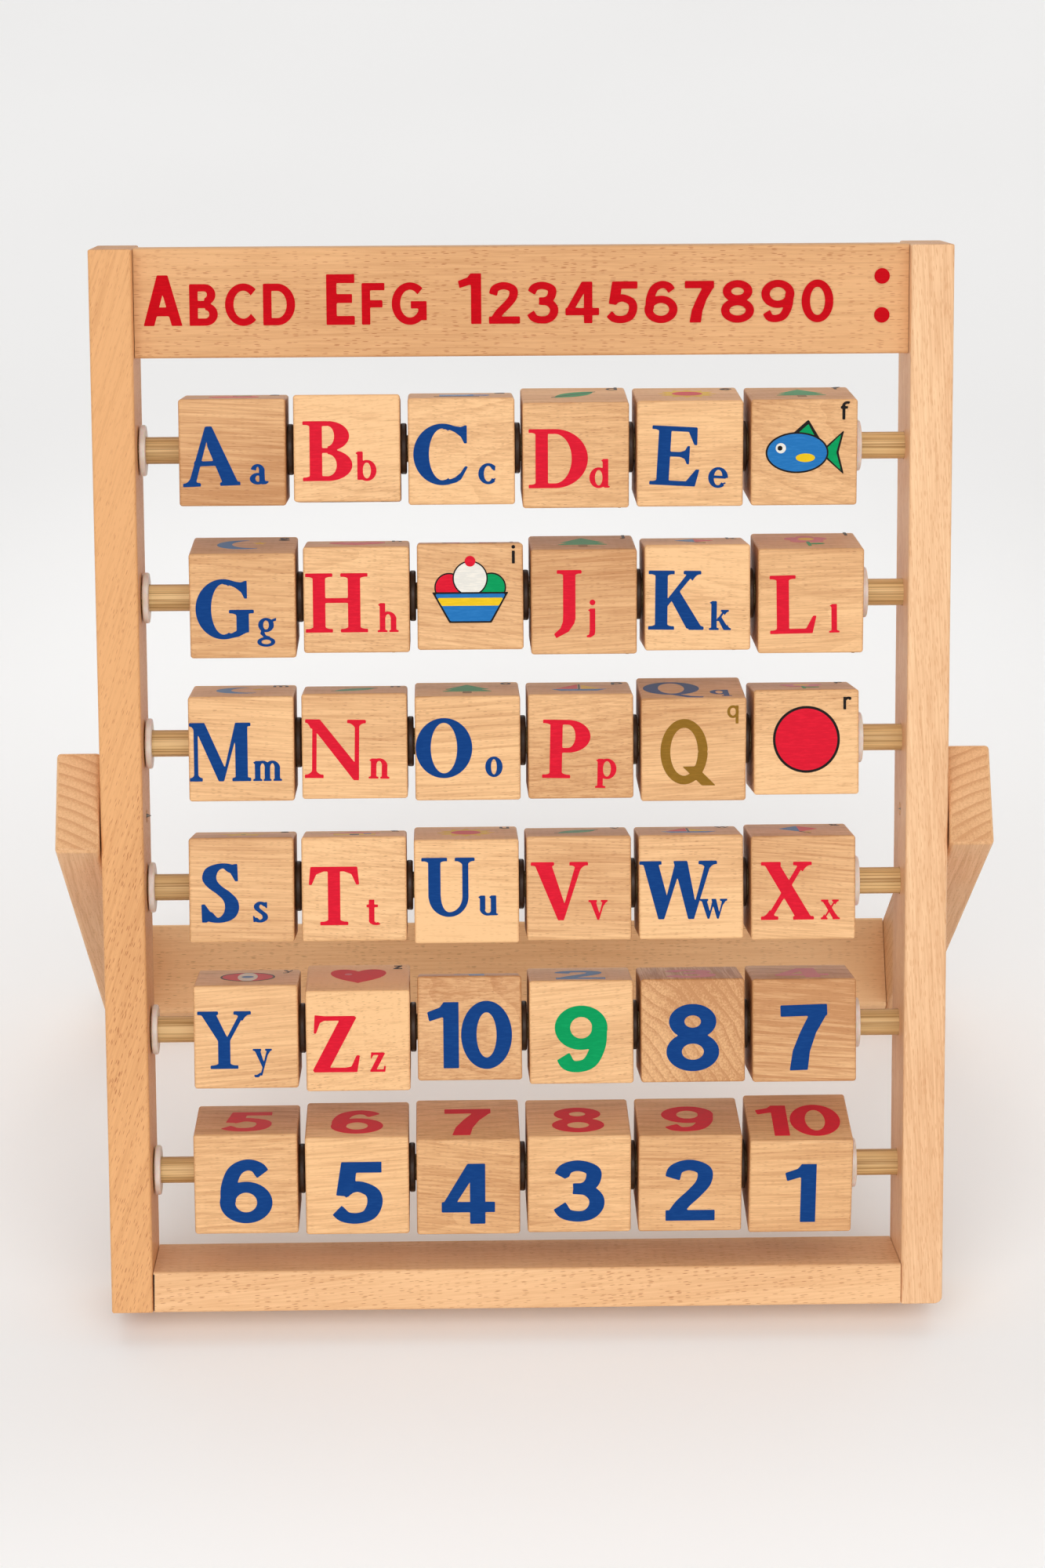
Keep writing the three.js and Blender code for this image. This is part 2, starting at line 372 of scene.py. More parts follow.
class Nodes:
    """Lays and links nodes in a node tree with little writing."""

    def __init__(self, tree: Tree) -> None:
        """Starts on a tree."""
        self.tree = tree

    def feed(self, node: bpy.types.Node, inputs: dict) -> None:
        """Sets or links a node's inputs.

        Args:
            node: The node.
            inputs: Values or output sockets by input name or number.
        """
        for key, value in inputs.items():
            if isinstance(value, Socket):
                self.tree.links.new(value, node.inputs[key])
            else:
                node.inputs[key].default_value = value

    def add(self, kind: str, inputs: dict | None = None, **settings: object) -> bpy.types.Node:
        """Adds a node.

        Args:
            kind: The node's type.
            inputs: Values or output sockets by input name or number.
            settings: Properties of the node.

        Returns:
            The node.
        """
        node = self.tree.nodes.new(kind)
        for key, value in settings.items():
            setattr(node, key, value)
        self.feed(node, inputs or {})
        return node

    def math(self, operation: str, a: Value, b: Value = 0.0, clamp: bool = False) -> Socket:
        """Adds a Math node on two values and gives its output."""
        return self.add("ShaderNodeMath", {0: a, 1: b}, operation=operation, use_clamp=clamp).outputs[0]

    def chain(self, operation: str, *values: Value) -> Socket:
        """Carries an operation through values in order, and keeps the last result between 0 and 1.

        Args:
            operation: The Math node's operation.
            values: Three values or more.

        Returns:
            The result.
        """
        first, *others, last = values
        for other in others:
            first = self.math(operation, first, other)
        return self.math(operation, first, last, clamp=True)

    def stretch(self, vector: Socket, scale: Triple) -> Socket:
        """Multiplies a vector by a scale along each axis."""
        return self.add("ShaderNodeVectorMath", {0: vector, 1: scale}, operation="MULTIPLY").outputs[0]

    def noise(self, vector: Socket, scale: float | Triple, detail: float = 2.0, rough: float = 0.5) -> Socket:
        """Adds a Noise Texture.

        Args:
            vector: Where it is read.
            scale: One scale, or one along each axis.
            detail: How many finer layers it has.
            rough: How strong they are.

        Returns:
            The noise, mostly between 0.3 and 0.7.
        """
        if isinstance(scale, tuple):
            vector, scale = self.stretch(vector, scale), 1.0
        inputs = {"Vector": vector, "Scale": scale, "Detail": detail, "Roughness": rough}
        return self.add("ShaderNodeTexNoise", inputs).outputs[0]

    def ramp(self, value: Socket, span: Spot, to: Spot = UNIT) -> Socket:
        """Maps a value smoothly from a span to the range given."""
        inputs = {"Value": value, "From Min": span[0], "From Max": span[1], "To Min": to[0], "To Max": to[1]}
        return self.add("ShaderNodeMapRange", inputs, interpolation_type="SMOOTHSTEP").outputs[0]

    def mix(self, amount: Socket, a: object, b: object) -> Socket:
        """Mixes two colours and gives the result."""
        return self.add("ShaderNodeMix", {0: amount, 6: a, 7: b}, data_type="RGBA").outputs[2]

    def split(self, vector: Socket) -> list[Socket]:
        """Gives a vector's parts along x, y and z."""
        return list(self.add("ShaderNodeSeparateXYZ", {0: vector}).outputs)

    def bump(self, height: Socket, strength: float, depth: float) -> Socket:
        """Adds a Bump node, with its depth in metres, and gives the normal."""
        inputs = {"Height": height, "Strength": strength, "Distance": depth}
        return self.add("ShaderNodeBump", inputs).outputs[0]


class Finish(Nodes):
    """A material in the making, with its shader and the piece's own coordinates."""

    def __init__(self, name: str) -> None:
        """Starts a material.

        Args:
            name: The material's name.
        """
        self.made = bpy.data.materials.new(name)
        self.made.use_nodes = True
        super().__init__(self.made.node_tree)
        self.shader = self.tree.nodes["Principled BSDF"]
        self.coordinates = self.add("ShaderNodeTexCoord").outputs
        self.place = self.coordinates["Object"]

    def attribute(self, name: str) -> Socket:
        """Reads a vector that the piece's mesh holds."""
        return self.add("ShaderNodeAttribute", attribute_name=name).outputs["Vector"]

    def done(self, inputs: dict) -> Material:
        """Feeds the shader's inputs and gives the material."""
        self.feed(self.shader, inputs)
        return self.made


def new_group(name: str, inputs: list[tuple[str, str, object]],
              outputs: list[tuple[str, str]]) -> tuple[Tree, Nodes, dict[str, Socket]]:
    """Starts a shader node group.

    Args:
        name: The group's name.
        inputs: Name, socket type and default of each input.
        outputs: Name and socket type of each output.

    Returns:
        The group, its node layer and its input sockets by name.
    """
    tree = bpy.data.node_groups.new(name, "ShaderNodeTree")
    for label, kind, value in inputs:
        socket = tree.interface.new_socket(label, in_out="INPUT", socket_type=kind)
        if value is not None:
            socket.default_value = value
    for label, kind in outputs:
        tree.interface.new_socket(label, in_out="OUTPUT", socket_type=kind)
    nodes = Nodes(tree)
    entry = nodes.add("NodeGroupInput")
    return tree, nodes, {socket.name: socket for socket in entry.outputs}


@dataclass(frozen=True)
class BeechFigure:
    """The figure of beech: patterns drawn in per metre, along the grain and across it, and their tones."""

    bend: Triple = (7.0, 34.0, 34.0)
    waver: Spot = (15.0, 4.0)
    ring_step: float = 1650.0
    ring_power: float = 3.5
    ring_share: float = 0.5
    ring_share_end: float = 0.9
    streak: Triple = (45.0, 1500.0, 1500.0)
    streak_tone: Spot = (-0.2, 0.26)
    streak_height: float = 0.35
    broad: Triple = (5.0, 26.0, 26.0)
    broad_span: Spot = (0.3, 0.72)
    broad_tone: Spot = (-0.05, 0.42)
    end_tone: float = 0.36
    cell: Triple = (290.0, 2500.0, 2500.0)
    cell_rim: Spot = (0.37, 0.2)
    patchy_span: Spot = (0.3, 0.62)
    patchy: Spot = (0.45, 1.0)
    fainter: Spot = (0.35, 1.0)
    fleck_rough: float = 0.2
    rough: Spot = (0.44, 0.56)

    def group(self) -> Tree:
        """Builds the node group: growth rings, fibre streaks and short brown flecks along x.

        Rings darken outwards from each year's start to its end, by the distance from a pith line along x,
        bent by noise. Flecks are long thin cells near their middles, and some are left out.

        Returns:
            The group, with Color, Height and Roughness.
        """
        colour, number = "NodeSocketColor", "NodeSocketFloat"
        white, black = (1, 1, 1, 1), (0, 0, 0, 1)
        tree, n, given = new_group(
            "beech_figure",
            [("Vector", "NodeSocketVector", None), ("End", number, 0.0), ("Light", colour, white),
             ("Dark", colour, white), ("Fleck", colour, black), ("Fleck Amount", number, 0.7),
             ("Fleck Size", number, 1.0), ("Fleck Share", number, 0.5), ("Ring Contrast", number, 0.5),
             ("Tone", number, 0.0), ("Pith Y", number, 0.05), ("Pith Z", number, 0.03)],
            [("Color", colour), ("Height", number), ("Roughness", number)])
        vector, end = given["Vector"], given["End"]
        _, y, z = n.split(vector)
        y, z = n.math("SUBTRACT", y, given["Pith Y"]), n.math("SUBTRACT", z, given["Pith Z"])
        radius = n.math("SQRT", n.math("ADD", n.math("MULTIPLY", y, y), n.math("MULTIPLY", z, z)))
        bend = n.noise(vector, self.bend, detail=3.0, rough=0.55)
        waver = n.math("MULTIPLY", bend, n.ramp(end, UNIT, self.waver))
        phase = n.math("ADD", n.math("MULTIPLY", radius, self.ring_step), waver)
        ring = n.math("POWER", n.math("FRACT", n.math("DIVIDE", phase, 2 * math.pi)), self.ring_power)
        streak = n.noise(vector, self.streak, detail=3.0, rough=0.6)
        broad = n.noise(vector, self.broad)
        cells = n.add("ShaderNodeTexVoronoi", {"Vector": n.stretch(vector, self.cell),
                                               "Scale": n.math("DIVIDE", 1.0, given["Fleck Size"])})
        drawn = n.add("ShaderNodeSeparateColor", {0: cells.outputs["Color"]}).outputs
        thin = n.ramp(cells.outputs["Distance"], self.cell_rim)
        chosen = n.math("LESS_THAN", drawn[0], given["Fleck Share"])
        amount = n.math("MULTIPLY", n.ramp(broad, self.patchy_span, self.patchy), given["Fleck Amount"])
        fleck = n.chain("MULTIPLY", thin, chosen, amount, n.ramp(drawn[1], UNIT, self.fainter))
        shown = n.math("ADD", n.math("MULTIPLY", end, self.ring_share_end), self.ring_share)
        contrast = n.math("MULTIPLY", given["Ring Contrast"], shown)
        tone = n.chain("ADD", n.math("MULTIPLY", ring, contrast),
                       n.ramp(broad, self.broad_span, self.broad_tone),
                       n.ramp(streak, NOISE_SPAN, self.streak_tone),
                       n.math("MULTIPLY", end, self.end_tone), given["Tone"])
        plain = n.mix(tone, given["Light"], given["Dark"])
        n.add("NodeGroupOutput", {
            "Color": n.mix(fleck, plain, given["Fleck"]),
            "Height": n.math("SUBTRACT", n.math("MULTIPLY", streak, self.streak_height), fleck),
            "Roughness": n.math("ADD", n.math("MULTIPLY", fleck, self.fleck_rough),
                                n.ramp(streak, NOISE_SPAN, self.rough))})
        return tree


@dataclass(frozen=True)
class Beech:
    """A beech finish: colours as seen, and how strongly the figure shows.

    The turn brings the piece's length to x. Without one, the mesh holds its wood coordinates and its look.
    """

    name: str
    light: Colour = (240, 191, 141)
    dark: Colour = (212, 155, 104)
    fleck: Colour = (164, 108, 66)
    flecks: float = 0.65
    fleck_size: float = 1.0
    share: float = 0.5
    rings: float = 0.3
    pith: Spot = (0.05, 0.03)
    turn: Triple | None = None
    offset: Triple = (0.0, 0.0, 0.0)
    end_from: Spot = (0.75, 0.95)
    relief: Spot = (0.25, 0.00025)
    specular: float = 0.35

    def material(self, group: Tree) -> Material:
        """Makes the material. The end mask is the part of the normal along the grain.

        Args:
            group: The beech figure.

        Returns:
            The material.
        """
        n = Finish(self.name)
        normal = n.coordinates["Normal"]
        inputs = {"Light": linear(self.light), "Dark": linear(self.dark), "Fleck": linear(self.fleck),
                  "Fleck Amount": self.flecks, "Fleck Size": self.fleck_size, "Fleck Share": self.share,
                  "Ring Contrast": self.rings, "Pith Y": self.pith[0], "Pith Z": self.pith[1]}
        if self.turn is None:
            inputs["Vector"] = n.attribute("grain")
            inputs["Tone"], inputs["Ring Contrast"], _ = n.split(n.attribute("look"))
        else:
            place = {"Vector": n.place, "Rotation": self.turn, "Location": self.offset}
            inputs["Vector"] = n.add("ShaderNodeMapping", place).outputs[0]
            away = {"Vector": normal, "Rotation": self.turn}
            normal = n.add("ShaderNodeMapping", away, vector_type="VECTOR").outputs[0]
        inputs["End"] = n.ramp(n.math("ABSOLUTE", n.split(normal)[0]), self.end_from)
        wood = n.add("ShaderNodeGroup", inputs, node_tree=group).outputs
        return n.done({"Base Color": wood["Color"], "Roughness": wood["Roughness"],
                       "Normal": n.bump(wood["Height"], *self.relief), "Specular IOR Level": self.specular})


@dataclass(frozen=True)
class Bamboo:
    """The dowels' bamboo: straw with lengthwise fibre lines, drawn in per metre in two widths."""

    name: str = "bamboo_dowel"
    light: Colour = (234, 198, 138)
    dark: Colour = (168, 126, 68)
    fine: Triple = (14.0, 2300.0, 2300.0)
    line_span: Spot = (0.42, 0.68)
    line_tone: Spot = (0.0, 0.75)
    wide: Triple = (5.0, 420.0, 420.0)
    band_span: Spot = (0.35, 0.7)
    band_tone: Spot = (-0.1, 0.4)
    rough: Spot = (0.42, 0.6)
    relief: Spot = (0.3, 0.0003)

    def material(self) -> Material:
        """Makes the material: the tone is the sum of a fine and a wide noise, both stretched along the dowel.

        Returns:
            The material.
        """
        n = Finish(self.name)
        fine = n.noise(n.place, self.fine, rough=0.6)
        wide = n.noise(n.place, self.wide)
        lines = n.ramp(fine, self.line_span, self.line_tone)
        bands = n.ramp(wide, self.band_span, self.band_tone)
        colour = n.mix(n.math("ADD", lines, bands, clamp=True), linear(self.light), linear(self.dark))
        return n.done({"Base Color": colour, "Roughness": n.ramp(fine, NOISE_SPAN, self.rough),
                       "Normal": n.bump(fine, *self.relief)})


@dataclass(frozen=True)
class Nylon:
    """The washers' milky plastic, which lets some light through, with clouds and a finer skin, per metre."""

    name: str = "nylon_washer"
    colour: Colour = (246, 238, 230)
    shade: Colour = (232, 218, 204)
    milky: float = 0.35
    milky_depth: float = 0.002
    cloud: float = 160.0
    shade_span: Spot = (0.35, 0.7)
    rough: Spot = (0.34, 0.44)
    skin: float = 900.0
    relief: Spot = (0.1, 0.0002)

    def material(self) -> Material:
        """Makes the material: a pale mottled base with light scattering below the skin.

        Returns:
            The material.
        """
        n = Finish(self.name)
        cloud = n.noise(n.place, self.cloud, detail=3.0)
        colour = n.mix(n.ramp(cloud, self.shade_span), linear(self.colour), linear(self.shade))
        return n.done({"Base Color": colour, "Roughness": n.ramp(cloud, NOISE_SPAN, self.rough),
                       "Normal": n.bump(n.noise(n.place, self.skin), *self.relief),
                       "Subsurface Weight": self.milky, "Subsurface Scale": self.milky_depth})


@dataclass(frozen=True)
class Steel:
    """The pivot screws' dull plated steel, with wear drawn in per metre."""

    name: str = "pivot_screw_steel"
    colour: Colour = (150, 146, 140)
    worn: Colour = (104, 99, 92)
    wear: Triple = (300.0, 1400.0, 1400.0)
    worn_span: Spot = (0.35, 0.7)
    rough: Spot = (0.28, 0.5)

    def material(self) -> Material:
        """Makes the material: colour and gloss follow one noise.

        Returns:
            The material.
        """
        n = Finish(self.name)
        wear = n.noise(n.place, self.wear, detail=3.0, rough=0.6)
        colour = n.mix(n.ramp(wear, self.worn_span), linear(self.colour), linear(self.worn))
        rough = n.ramp(wear, NOISE_SPAN, self.rough)
        return n.done({"Base Color": colour, "Roughness": rough, "Metallic": 1.0})


@dataclass(frozen=True)
class Printing:
    """A printed ink: flat colour with a little of the wood's fibre, drawn in per metre, and a faint sheen."""

    ink: Ink
    fibre: Triple = (260.0, 1900.0, 1900.0)
    fibre_span: Spot = (0.42, 0.72)
    rough: Spot = (0.58, 0.72)
    wood: Colour = (226, 176, 128)
    wood_share: float = 0.04
    deep_share: float = 0.94
    specular: float = 0.05
    sheen: float = 0.25
    sheen_rough: float = 0.35
    sheen_tint: Colour = (255, 246, 238)

    def material(self) -> Material:
        """Makes the material: the colour is lightened and darkened along the fibre.

        Returns:
            The material.
        """
        n = Finish("ink_" + self.ink.name.lower())
        fibre = n.noise(n.place, self.fibre, detail=3.0, rough=0.6)
        flat = np.asarray(self.ink.value, float)
        pale = (flat + (np.array(self.wood) - flat) * self.wood_share).astype(int)
        deep = (flat * self.deep_share).astype(int)
        colour = n.mix(n.ramp(fibre, self.fibre_span), linear(deep), linear(pale))
        return n.done({"Base Color": colour, "Roughness": n.ramp(fibre, NOISE_SPAN, self.rough),
                       "Specular IOR Level": self.specular, "Sheen Weight": self.sheen,
                       "Sheen Roughness": self.sheen_rough, "Sheen Tint": linear(self.sheen_tint)})


# Lettering: each letter is a row of strokes divided by bars, in units of its height

SERIF_CAPS = {
    "a": "p .41 1 .52 1 .93 .03 .67 .03 .435 .66|p .41 1 .5 1 .21 .03 .09 .03|h .2 .66 .38|s .15 .15"
         "|s .79 .17",
    "b": "v .22 1 0 1|S .22 .22 L|s .22 .22 L|h .2 .42 1|a .42 .75 .36 .25 -90 90 1.2|h .2 .42 .51"
         "|a .42 .265 .41 .265 -90 90 1.25|h .2 .42 0",
    "c": "a .49 .5 .49 .515 75 285 1.25|p .5 1 .617 .997 .7 .972 .8 .956 .87 .985 .9 .985 .9 .68 .855 .68"
         " .8 .79 .7 .87 .62 .905 .54 .922 .5 .92|p .5 0 .617 .003 .72 .03 .8 .08 .92 .3 .865 .3 .79 .19"
         " .7 .115 .62 .085 .54 .078 .5 .07",
    "d": "v .22 1 0 1|S .22 .22 L|s .22 .22 L|h .2 .44 1|a .44 .5 .555 .5 -90 90 1.3|h .2 .44 0",
    "e": "v .22 1 0 1|S .22 .22 L|s .22 .22 L|h .2 .7 1|p .58 1 .76 1 .77 .7 .72 .7 .62 .91|h .2 .6 .53"
         "|p .46 .56 .57 .6 .61 .68 .65 .68 .65 .37 .61 .37 .57 .46 .46 .5|h .2 .7 0"
         "|p .58 0 .77 0 .83 .29 .77 .29 .62 .09",
    "f": "v .22 1 0 1|S .22 .22 L|s .24 .24|h .2 .7 1|p .58 1 .76 1 .77 .7 .72 .7 .62 .91|h .2 .6 .5"
         "|p .46 .53 .57 .57 .61 .65 .65 .65 .65 .34 .61 .34 .57 .43 .46 .47",
    "g": "a .47 .5 .47 .515 75 285 1.25|p .48 1 .592 .997 .67 .972 .77 .956 .84 .985 .87 .985 .87 .68 .825"
         " .68 .77 .79 .67 .87 .59 .905 .52 .922 .48 .92|v .79 1 .1 .47|S .77 .21 .49"
         "|p .48 0 .592 .003 .72 .03 .895 .12 .895 .2 .685 .2 .685 .13 .6 .088 .52 .079 .48 .07",
    "h": "v .23 1 0 1|v .82 1 0 1|s .23 .23|S .23 .23|s .82 .23|S .82 .23|h .23 .82 .54",
    "i": "v .23 1 0 1|s .23 .23|S .23 .23",
    "j": "v .27 1 .15 1|S .27 .21|p .165 .25 .375 .25 .36 .1 .26 -.05 .05 -.16 .01 -.09 .12 .01 .16 .12",
    "k": "v .22 1 0 1|s .22 .22|S .22 .22|p .3 .37 .3 .49 .67 .97 .79 .97"
         "|p .38 .51 .52 .66 .92 .02 .65 .02|S .74 .15|s .81 .13",
    "l": "v .22 1 0 1|s .22 .22 L|S .22 .22|h .2 .66 0|p .56 0 .72 0 .79 .3 .73 .3 .62 .1",
    "m": "v .11 .34 0 1|p .03 1 .26 1 .61 .2 .57 0 .49 0 .12 .86|p .54 0 .58 0 .86 1 .78 1|v .88 1 0 1"
         "|s .11 .11|S .1 .1 L|s .88 .16|S .91 .13 R",
    "n": "v .16 .36 0 1|p 0 1 .25 1 .92 .18 .92 -.03 .83 -.03 .16 .82|v .88 .36 -.03 1|s .16 .16|S .1 .1 L"
         "|S .87 .16",
    "o": "a .48 .5 .48 .515 0 360 1.22",
    "p": "v .23 1 0 1|s .24 .24|S .22 .22 L|h .2 .43 1|a .43 .72 .38 .28 -90 90 1.22|h .2 .43 .48",
    "q": "a .48 .5 .48 .515 0 360 1.22|p .4 .04 .56 .04 .8 -.15 1 -.19 .98 -.26 .72 -.24",
    "r": "v .22 1 0 1|s .22 .22|S .22 .22 L|h .2 .43 1|a .43 .74 .36 .26 -90 90 1.2|h .2 .45 .5"
         "|p .38 .5 .57 .53 .93 .02 .67 .02|s .84 .12",
    "s": "c 1.16 .55 .88 .46 .95 .33 .965 .18 .9 .13 .75 .21 .62 .37 .5 .49 .37 .51 .22 .44 .09 .3 .035"
         " .16 .06 .07 .15|p .53 .99 .61 1 .62 .7 .57 .7 .48 .86|p -.01 .31 .05 .31 .2 .1 .08 0 0 0",
    "t": "v .43 1 0 1|s .43 .24|h .05 .81 1|p 0 .69 .05 .69 .13 .87 .26 .92 .26 1 .03 1"
         "|p .86 .69 .81 .69 .73 .87 .6 .92 .6 1 .83 1",
    "u": "v .22 1 .3 1|a .47 .33 .35 .35 180 270 1|a .47 .33 .33 .35 270 360 .5|v .748 .5 .3 1|S .22 .22"
         "|S .74 .17",
    "v": "p .06 .97 .35 .97 .61 .17 .56 0 .46 0|p .49 0 .56 0 .88 .97 .77 .97|S .2 .2|S .82 .16",
    "w": "p .06 .97 .32 .97 .5 .28 .42 0 .32 0|p .36 0 .42 0 .67 .78 .6 .92"
         "|p .58 1 .82 1 .97 .2 .93 0 .83 0|p .87 0 .93 0 1.23 .97 1.13 .97|S .19 .19|S 1.17 .16",
    "x": "p .05 .97 .31 .97 .87 .03 .6 .03|p .09 .03 .19 .03 .75 .97 .65 .97|S .17 .17|S .71 .16|s .15 .15"
         "|s .73 .18",
    "y": "p .05 .97 .31 .97 .53 .5 .39 .42|p .46 .46 .52 .42 .82 .97 .73 .97|v .455 1 0 .5|S .18 .18"
         "|S .77 .15|s .455 .24",
    "z": "h .08 .74 1|h .03 .74 0|p .5 .98 .77 .98 .27 .02 0 .02"
         "|p .03 .69 .07 .69 .14 .88 .22 .92 .22 1 .05 1.02|p .76 .3 .82 .3 .77 0 .56 0 .56 .08 .67 .1",
}
SERIF_SMALL = {
    "a": "v .43 1 .04 .48|a .29 .46 .243 .24 0 165 1|a .29 .2 .28 .2 50 340 1"
         "|P .4 0 .56 0 .66 .07 .62 .11 .48 .1",
    "b": "v .17 1 .03 1|P 0 .95 .17 1 .17 .92 .07 .9|a .4 .35 .33 .36 0 360 1",
    "c": "a .34 .35 .34 .36 42 315 1|P .44 .6 .58 .63 .58 .46 .52 .46|P .42 .05 .61 .17 .56 .2 .42 .12",
    "d": "v .55 1 .03 1|P .39 .95 .55 1 .55 .92 .45 .9|a .32 .35 .32 .36 0 360 1"
         "|P .5 0 .68 0 .72 .05 .55 .09",
    "e": "a .34 .35 .34 .36 0 312 1|h .1 .6 .37|P .42 .05 .63 .17 .58 .2 .42 .12",
    "f": "v .22 1 0 .76|s .22 .2|a .42 .74 .3 .26 60 180 1|h .05 .44 .66",
    "g": "a .31 .46 .27 .25 0 360 .9|a .31 -.13 .31 .17 0 360 .75"
         "|p .15 .28 .24 .22 .3 .1 .46 .05 .4 -.02 .22 .04 .1 .16|P .42 .62 .66 .71 .66 .61 .48 .56",
    "h": "v .17 1 0 1|P 0 .95 .17 1 .17 .92 .07 .9|s .17 .17|a .36 .43 .29 .28 0 165 1|v .547 1 0 .44"
         "|s .56 .16",
    "i": "v .2 1 0 .7|P .03 .65 .2 .7 .2 .62 .1 .6|s .2 .18|o .2 .91 .1",
    "j": "v .2 1 -.12 .7|P .03 .65 .2 .7 .2 .62 .1 .6|p .1 -.1 .3 -.1 .27 -.22 .14 -.31 0 -.3 0 -.24 .08"
         " -.21|o .2 .91 .1",
    "k": "v .17 1 0 1|P 0 .95 .17 1 .17 .92 .07 .9|s .17 .17|p .25 .33 .32 .3 .58 .68 .5 .68"
         "|p .28 .42 .42 .46 .7 .02 .49 .02|S .54 .14 .7|s .63 .13",
    "l": "v .2 1 0 1|P .03 .95 .2 1 .2 .92 .1 .9|s .2 .18",
    "m": "v .17 1 0 .7|P 0 .65 .17 .7 .17 .62 .07 .6|s .17 .16|a .34 .43 .27 .28 0 165 1|v .507 1 0 .44"
         "|s .51 .14|a .68 .43 .27 .28 0 165 1|v .847 1 0 .44|s .86 .15",
    "n": "v .17 1 0 .7|P 0 .65 .17 .7 .17 .62 .07 .6|s .17 .17|a .36 .43 .29 .28 0 165 1|v .547 1 0 .44"
         "|s .56 .16",
    "o": "a .3 .35 .3 .36 0 360 1.05",
    "p": "v .17 1 -.32 .7|P 0 .65 .17 .7 .17 .62 .07 .6|s .18 .18 -.32|a .4 .35 .33 .36 0 360 1",
    "q": "v .55 1 -.32 .7|s .55 .18 -.32|a .32 .35 .32 .36 0 360 1",
    "r": "v .17 1 0 .7|P 0 .65 .17 .7 .17 .62 .07 .6|s .18 .18|a .38 .44 .3 .27 60 165 1|o .46 .6 .08",
    "s": "c 1 .44 .58 .36 .64 .24 .665 .14 .58 .15 .47 .28 .36 .41 .25 .42 .12 .3 .035 .17 .04 .08 .12"
         "|P .42 .69 .5 .7 .5 .48 .46 .48 .38 .59|P 0 .22 .04 .22 .13 .1 .07 0 .02 0",
    "t": "v .2 1 .12 .88|h .02 .42 .66|a .36 .15 .263 .16 180 305 1",
    "u": "v .17 1 .2 .7|a .36 .24 .293 .25 180 360 .9|v .55 1 0 .7|P 0 .65 .17 .7 .17 .62 .07 .6"
         "|P .38 .65 .55 .7 .55 .62 .45 .6|P .5 0 .68 0 .72 .05 .55 .09",
    "v": "p .05 .68 .25 .68 .41 .13 .37 0 .31 0|p .32 0 .37 0 .58 .68 .5 .68|S .15 .15 .7|S .55 .12 .7",
    "w": "p .05 .68 .24 .68 .38 .15 .33 0 .27 0|p .29 0 .33 0 .5 .56 .44 .64"
         "|p .4 .7 .57 .7 .7 .14 .66 0 .6 0|p .62 0 .66 0 .86 .68 .79 .68|S .15 .15 .7|S .83 .13 .7",
    "x": "p .04 .68 .22 .68 .62 .02 .42 .02|p .07 .02 .14 .02 .54 .68 .47 .68|S .13 .13 .7|S .5 .12 .7"
         "|s .11 .12|s .53 .13",
    "y": "p .05 .68 .25 .68 .41 .13 .35 0|p .26 -.24 .32 -.26 .58 .68 .5 .68"
         "|p .31 -.2 .2 -.31 .06 -.31 .04 -.22 .14 -.22 .26 -.14|S .15 .15 .7|S .55 .12 .7",
    "z": "h .05 .5 .66|h .02 .52 0|p .34 .68 .54 .68 .2 .02 0 .02"
         "|P .03 .48 .06 .48 .12 .6 .17 .63 .17 .7 .05 .72|P .5 .22 .56 .22 .54 0 .4 0 .4 .06 .48 .08",
}
SANS_CAPS = {
    "a": "d .12 0 .4 1|d .68 0 .4 1|h .2 .6 .28",
    "b": "v .12 1 0 1|h .1 .38 1|a .38 .745 .27 .255 -90 90 1|h .1 .4 .51|a .4 .275 .3 .275 -90 90 1"
         "|h .1 .4 0",
    "c": "a .44 .5 .44 .51 46 314 1",
    "d": "v .12 1 0 1|h .1 .36 1|a .36 .5 .43 .5 -90 90 1|h .1 .36 0",
    "e": "v .12 1 0 1|h .1 .58 1|h .1 .53 .52|h .1 .58 0",
    "f": "v .12 1 0 1|h .1 .57 1|h .1 .52 .5",
    "g": "a .44 .5 .44 .51 46 330 1|v .74 1 .1 .5|h .46 .84 .47",
    "h": "v .12 1 0 1|v .66 1 0 1|h .12 .66 .52",
    "i": "v .12 1 0 1",
    "j": "v .42 1 .28 1|c 1 .42 .3 .4 .13 .27 .055 .14 .09 .07 .2",
    "k": "v .12 1 0 1|d .24 .42 .6 1|d .26 .56 .66 0",
    "l": "v .12 1 0 1|h .1 .56 0",
    "m": "v .12 1 0 1|d .14 1 .47 .1|d .8 1 .47 .1|v .82 1 0 1",
    "n": "v .12 1 0 1|d .13 1 .65 0|v .66 1 0 1",
    "o": "a .45 .5 .45 .51 0 360 1",
    "p": "v .12 1 0 1|h .1 .38 1|a .38 .72 .29 .28 -90 90 1|h .1 .38 .49",
    "q": "a .36 .5 .36 .51 0 360 1|d .44 .27 .74 -.03",
    "r": "v .12 1 0 1|h .1 .38 1|a .38 .73 .28 .27 -90 90 1|h .1 .4 .51|d .36 .5 .66 0",
    "s": "c 1 .56 .8 .44 .9 .3 .92 .15 .84 .14 .68 .3 .54 .48 .42 .53 .27 .44 .12 .28 .08 .12 .12 .06 .2",
    "t": "h 0 .7 1|v .35 1 0 1",
    "u": "v .12 1 .34 1|c 1 .12 .36 .13 .2 .22 .09 .4 .055 .58 .09 .67 .2 .68 .36|v .68 1 .34 1",
    "v": "d .1 1 .38 0|d .66 1 .38 0",
    "w": "d .1 1 .3 0|d .52 1 .3 0|d .52 1 .74 0|d .94 1 .74 0",
    "x": "d .1 1 .64 0|d .1 0 .64 1",
    "y": "d .08 1 .36 .42|d .64 1 .36 .42|v .36 1 0 .46",
    "z": "h .04 .62 1|h .02 .64 0|d .52 1 .14 0",
}
